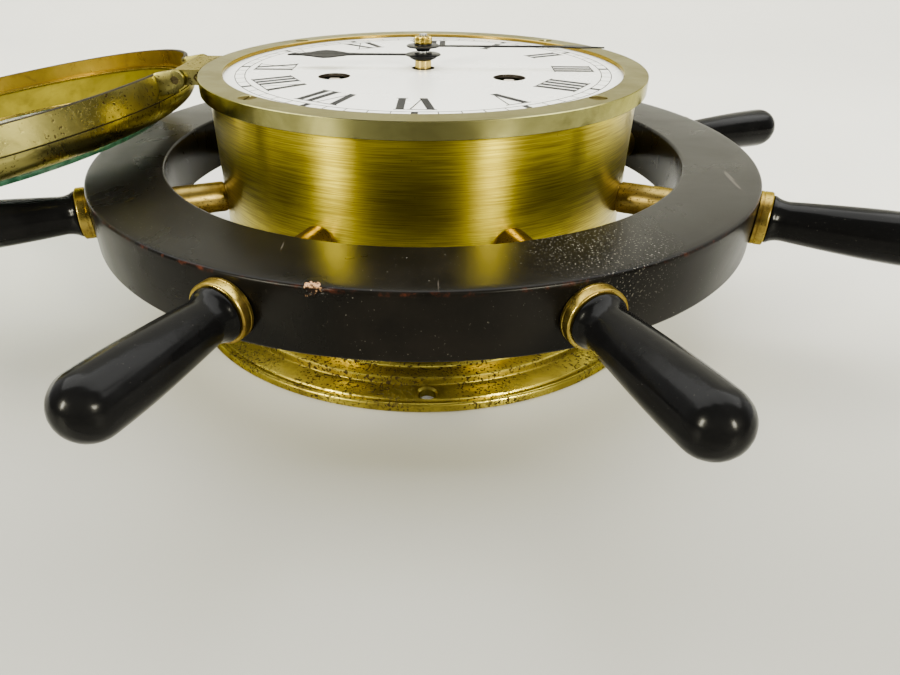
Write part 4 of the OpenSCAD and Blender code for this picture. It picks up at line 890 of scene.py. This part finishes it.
def handBlade(outline, height, turn, disc, lean=0.0):  # thin pressed hand, its tip bent down a little
    s = handShape
    bm = bmesh.new()
    around = outline + [(x, -w) for x, w in reversed(outline)]
    face = bm.faces.new([bm.verts.new((x * mm, w * mm, 0)) for x, w in around])
    everything = bm.verts[:] + bm.edges[:] + bm.faces[:]
    bmesh.ops.bisect_plane(bm, geom=everything, plane_co=(0, 0, 0), plane_no=(0, 1, 0))
    raised = bmesh.ops.extrude_face_region(bm, geom=bm.faces[:])
    bmesh.ops.translate(bm, vec=(0, 0, s["thick"] * mm), verts=newVerts(raised))
    bmesh.ops.recalc_face_normals(bm, faces=bm.faces)
    far = outline[-1][0]
    for v in bm.verts:
        bend = s["droop"] * max(0, (v.co.x / mm - far * 0.72) / (far * 0.28)) ** 1.6
        crown = 0.1 if abs(v.co.y) < 1e-6 and v.co.z > 0 else 0
        v.co.z += (height - bend + crown - lean * v.co.y / mm) * mm
    bmesh.ops.rotate(bm, cent=(0, 0, 0), matrix=Matrix.Rotation(radians(turn), 3, "Z"), verts=bm.verts)
    part = bmesh.new()
    spinOutline(part, upright(disc), (0, 0, 1), 64)
    appendTurned(bm, part, Matrix.Identity(4))
    part.free()
    return bm


def hourHand():
    s, z = handShape, handShape["hourHeight"]
    disc = [(2.1, z), (5.8, z), (6.05, z + 0.1), (6.05, z + 0.34), (5.8, z + 0.46), (3.05, z + 0.5),
            (2.95, z + 0.92), (2.6, z + 1.0), (2.1, z + 1.0)]
    bm = handBlade(s["hour"], z, s["hourTurn"], disc, s["hourLean"])
    addPiece(bm, "HourHand", "hour_wheel_and_hand", [finishes["hand"]], ["hour_hand"])


def minuteHand():
    s, z = handShape, handShape["minuteHeight"]
    disc = [(1.3, z - 1.28), (2.2, z - 1.28), (2.5, z - 0.9), (2.95, z - 0.05), (5.45, z - 0.02),
            (5.65, z + 0.1), (5.65, z + 0.34), (5.45, z + 0.46), (3.0, z + 0.5), (2.9, z + 0.88), (1.3, z + 0.88)]
    bm = handBlade(s["minute"], z, s["minuteTurn"], disc)
    body = "centre_arbor_and_minute_hand"
    addPiece(bm, "MinuteHand", body, [finishes["hand"]], ["minute_hand"])


nutShape = {
    "above": 7.8,  # over the dial
    "tall": 2.38,
    "radius": 2.98,
    "edge": 0.3,
    "flutes": 96,
    "knurl": 0.95,
    "bore": 1.28,
}


def handNut():  # knurled round nut with softened ends
    n = nutShape
    low, tall, flutes, r = dialTop + n["above"] * mm, n["tall"] * mm, n["flutes"], n["radius"] * mm
    bm = bmesh.new()
    bmesh.ops.create_cone(bm, cap_ends=True, segments=flutes, radius1=r, radius2=r, depth=tall)
    ends = [e for e in bm.edges if abs(e.verts[0].co.z - e.verts[1].co.z) < 1e-9]
    softenEdges(bm, ends, n["edge"] * mm)
    for v in bm.verts:  # every second vertex sits deeper, which makes the knurl
        turn = round(atan2(v.co.y, v.co.x) / (2 * pi) * flutes)
        if turn % 2:
            v.co.x *= n["knurl"]
            v.co.y *= n["knurl"]
    bmesh.ops.translate(bm, vec=(0, 0, low + tall / 2), verts=bm.verts)
    bore = bmesh.new()
    rodAlong(bore, (0, 0, low - 0.001), (0, 0, low + 0.004), n["bore"] * mm)
    cutWith(bm, bore)
    body = "centre_arbor_and_minute_hand"
    addPiece(bm, "HandNut", body, [finishes["rail"]], ["hand_nut"], 24)


def hourCollet():  # flared top of the hour pipe, under the hand
    low = handShape["hourHeight"] - 1.4
    section = [(2.78, low), (3.25, low), (3.9, low + 0.35), (4.5, low + 0.62), (4.58, low + 0.75),
               (4.58, low + 1.2), (4.45, low + 1.38), (2.78, low + 1.38)]
    bm = bmesh.new()
    spinOutline(bm, upright(section), (0, 0, 1), 64)
    addPiece(bm, "HourCollet", "hour_wheel_and_hand", [finishes["hand"]], ["hour_collet"])


squareShape = {"half": 1.7, "down": 2.0, "below": 0.8, "edge": 0.3}


def windingSquares():  # bright filed ends of the two arbors, in the dial's holes
    half = squareShape["half"] * mm
    for name in ("going", "strike"):
        low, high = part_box(name + "_winding_arbor")
        mid = (low + high) / 2
        bm = bmesh.new()
        foot = (mid.x - half, mid.y - half, high.z - squareShape["down"] * mm)
        end = (mid.x + half, mid.y + half, dialTop - squareShape["below"] * mm)
        boxBetween(bm, foot, end, squareShape["edge"] * mm)
        looks = [finishes["steelBright"]]
        addPiece(bm, name.capitalize() + "SquareEnd", name + "_winding_arbor", looks)


windingSquares()
hourHand()
minuteHand()
handNut()
hourCollet()
print("hands made")


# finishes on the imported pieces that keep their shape

plainFinishes = {
    "drum": ("case_drum",),
    "flange": ("back_cover",),
    "movement": ("case_lugs", "dial_feet", "front_plate", "back_plate", "plate_pillars", "going_barrel",
        "going_ratchet", "strike_barrel", "strike_ratchet", "centre_wheel", "intermediate_wheel",
        "third_wheel", "fourth_wheel", "balance_wheel", "minute_wheel", "pin_wheel", "warning_wheel", "fly"),
    "seat": ("seat_ring",),
    "screw": ("seat_ring_screws", "hinge_pin"),
    "hinge": ("hinge_lug",),
    "dial": ("dial",),
    "steel": ("movement_brackets", "bracket_screws", "spoke_screws", "pillar_nuts", "bell_stand",
        "going_winding_arbor", "going_click", "strike_winding_arbor", "strike_click", "centre_arbor",
        "cannon_pinion", "escape_wheel", "pallet_lever", "strike_hammer"),
    "bell": ("bell",),
    "spring": ("going_mainspring", "strike_mainspring", "click_springs", "hairspring"),
    "fitting": ("hour_wheel",),
}
for finish, names in plainFinishes.items():
    for name in names:
        slots = nodes[name].material_slots
        for slot in slots:
            slot.material = finishes[finish]
        if not slots:
            nodes[name].data.materials.append(finishes[finish])
print("finishes put on the plain pieces")


# numerals and minute track

numeralShape = {
    "inner": 44.6,
    "outer": 58.0,
    "thick": 0.05,
    "stroke": 2.3,
    "hair": 0.42,
    "serif": 0.4,
    "widths": {"I": 3.6, "V": 8.6, "X": 8.4},
    "track": (60.2, 63.4),
    "line": 0.28,
    "hourDot": 0.95,
    "minuteDot": 0.14,
}


def flatStroke(bm, points, low, high):  # a flat inked shape from its corners
    verts = [bm.verts.new((x * mm, y * mm, low)) for x, y in points]
    face = bm.faces.new(verts)
    if face.normal.z < 0:
        face.normal_flip()
    raised = bmesh.ops.extrude_face_region(bm, geom=[face])
    bmesh.ops.translate(bm, vec=(0, 0, high - low), verts=newVerts(raised))


def bar(bm, x0, x1, width, y0, y1, low, high):  # a slanting bar from (x0, y0) to (x1, y1)
    h = width / 2
    flatStroke(bm, [(x0 - h, y0), (x0 + h, y0), (x1 + h, y1), (x1 - h, y1)], low, high)


def numeral(bm, letters, turn):
    s = numeralShape
    low, high = dialTop + 0.00001, dialTop + s["thick"] * mm
    widths, thick, hair, serif = s["widths"], s["stroke"], s["hair"], s["serif"]
    part = bmesh.new()
    x = -sum(widths[c] for c in letters) / 2
    y0, y1 = s["inner"], s["outer"]
    for c in letters:
        w = widths[c]
        mid = x + w / 2
        if c == "I":
            bar(part, mid, mid, thick, y0, y1, low, high)
        elif c == "V":
            bar(part, mid, x + thick / 2 + 0.5, thick, y0, y1, low, high)
            bar(part, mid + 0.2, x + w - hair - 0.6, hair, y0, y1, low, high)
        else:
            bar(part, x + w - thick / 2 - 0.5, x + thick / 2 + 0.5, thick, y0, y1, low, high)
            bar(part, x + hair + 0.6, x + w - hair - 0.6, hair, y0, y1, low, high)
        left, right = x + 0.1, x + w - 0.1
        for y in (y0, y1 - serif):
            if c == "V" and y == y0:
                continue
            corners = [(left, y), (right, y), (right, y + serif), (left, y + serif)]
            flatStroke(part, corners, low, high + 0.00001)
        x += w
    appendTurned(bm, part, Matrix.Rotation(turn, 4, "Z"))
    part.free()


def dialMarks():
    bm = bmesh.new()
    hours = ["XII", "I", "II", "III", "IIII", "V", "VI", "VII", "VIII", "IX", "X", "XI"]
    for i, letters in enumerate(hours):
        numeral(bm, letters, -radians(30 * i))
    s = numeralShape
    low, high = dialTop + 0.00001, dialTop + s["thick"] * mm
    for r in s["track"]:
        wide = r + s["line"]
        ring = [Vector((a * mm, 0, z)) for a, z in ((r, low), (wide, low), (wide, high), (r, high))]
        part = bmesh.new()
        spinOutline(part, ring, (0, 0, 1), 180)
        appendTurned(bm, part, Matrix.Identity(4))
        part.free()
    for i in range(60):
        part = bmesh.new()
        half = s["minuteDot"] if i % 5 else s["hourDot"]
        flatStroke(part, [(-half, 60.4), (half, 60.4), (half, 63.5), (-half, 63.5)], low, high - 0.00001)
        appendTurned(bm, part, Matrix.Rotation(radians(6 * i), 4, "Z"))
        part.free()
    addPiece(bm, "DialMarks", caseBody, [finishes["ink"]])


dialMarks()
print("dial marked")


# floor, backdrop and lights

floorShape = {"half": 1.6, "front": -0.9, "bend": 0.55, "curve": 0.25, "top": 1.3}  # metres


def paperFloor():
    mat, tree, shader = startMaterial("PaperFloor")
    cloud = noiseValue(tree, objectVector(tree), 3.0, 4, 0.55)
    fibre = noiseValue(tree, objectVector(tree), 900, 3, 0.6)
    tone = mixColours(tree, spread(tree, cloud, 0.3, 0.7), (0.84, 0.835, 0.775), (0.88, 0.875, 0.82))
    y = objectPlace(tree)["Y"]  # painted shade: the floor darkens towards the front
    tone = mixColours(tree, spread(tree, y, -0.16, 0.12), (0.30, 0.298, 0.270), tone)
    # painted shade: the nearest strip is near-black, standing in for the shade of the dim room in front, which
    # the brass reflects
    tone = mixColours(tree, spread(tree, y, -0.30, -0.20), (0.09, 0.09, 0.085), tone)
    plug(tree, tone, shader.inputs["Base Color"])
    plug(tree, spread(tree, fibre, 0.3, 0.7, 0.42, 0.52), shader.inputs["Roughness"])
    bump(tree, shader, fibre, 0.05, 0.0002)
    bm = bmesh.new()
    # a sweep: flat floor, then a quarter turn up into the backdrop
    f = floorShape
    line = [(f["front"], 0.0), (f["bend"], 0.0)]
    for i in range(1, 13):
        a = radians(7.5 * i)
        line.append((f["bend"] + f["curve"] * sin(a), f["curve"] * (1 - cos(a))))
    line.append((f["bend"] + f["curve"], f["top"]))
    verts = [bm.verts.new((-f["half"], y, z)) for y, z in line]
    edges = [bm.edges.new((verts[i], verts[i + 1])) for i in range(len(verts) - 1)]
    swept = bmesh.ops.extrude_edge_only(bm, edges=edges)
    bmesh.ops.translate(bm, vec=(2 * f["half"], 0, 0), verts=newVerts(swept))
    bmesh.ops.recalc_face_normals(bm, faces=bm.faces)
    mesh = bpy.data.meshes.new("Floor")
    bm.to_mesh(mesh)
    bm.free()
    mesh.materials.append(mat)
    mesh.shade_smooth()
    floor = bpy.data.objects.new("Floor", mesh)
    bpy.context.scene.collection.objects.link(floor)


warmLight = (1.0, 0.95, 0.74)


def softLight(name, place, target, size, power, colour):
    data = bpy.data.lights.new(name, "AREA")
    data.shape = "RECTANGLE"
    data.size, data.size_y = size
    data.energy = power
    data.color = colour
    lamp = bpy.data.objects.new(name, data)
    lamp.location = place
    lamp.rotation_euler = (Vector(target) - Vector(place)).to_track_quat("-Z", "Y").to_euler()
    bpy.context.scene.collection.objects.link(lamp)


paperFloor()
softLight("Ceiling", (0.0, 1.25, 1.7), (0, 1.25, 0), (4.5, 3.0), 250, (1.0, 1.0, 0.97))
softLight("WindowRight", (0.60, -0.80, 0.42), (0, 0, 0.05), (0.15, 0.24), 19, warmLight)
softLight("WindowLeft", (-0.72, -0.74, 0.42), (0, 0, 0.05), (0.15, 0.24), 19, warmLight)
world = bpy.data.worlds.new("World")
world.use_nodes = True
sky = world.node_tree
skyParts = splitVector(sky, addNode(sky, "ShaderNodeTexCoord").outputs["Generated"])
backdrop = spread(sky, skyParts["Y"], -0.3, 0.5, 0.07, 1.7)  # dim room in front, pale wall behind
plug(sky, backdrop, sky.nodes["Background"].inputs["Strength"])
sky.nodes["Background"].inputs["Color"].default_value = (0.97, 0.97, 0.93, 1)
bpy.context.scene.world = world
print("floor and lights set")
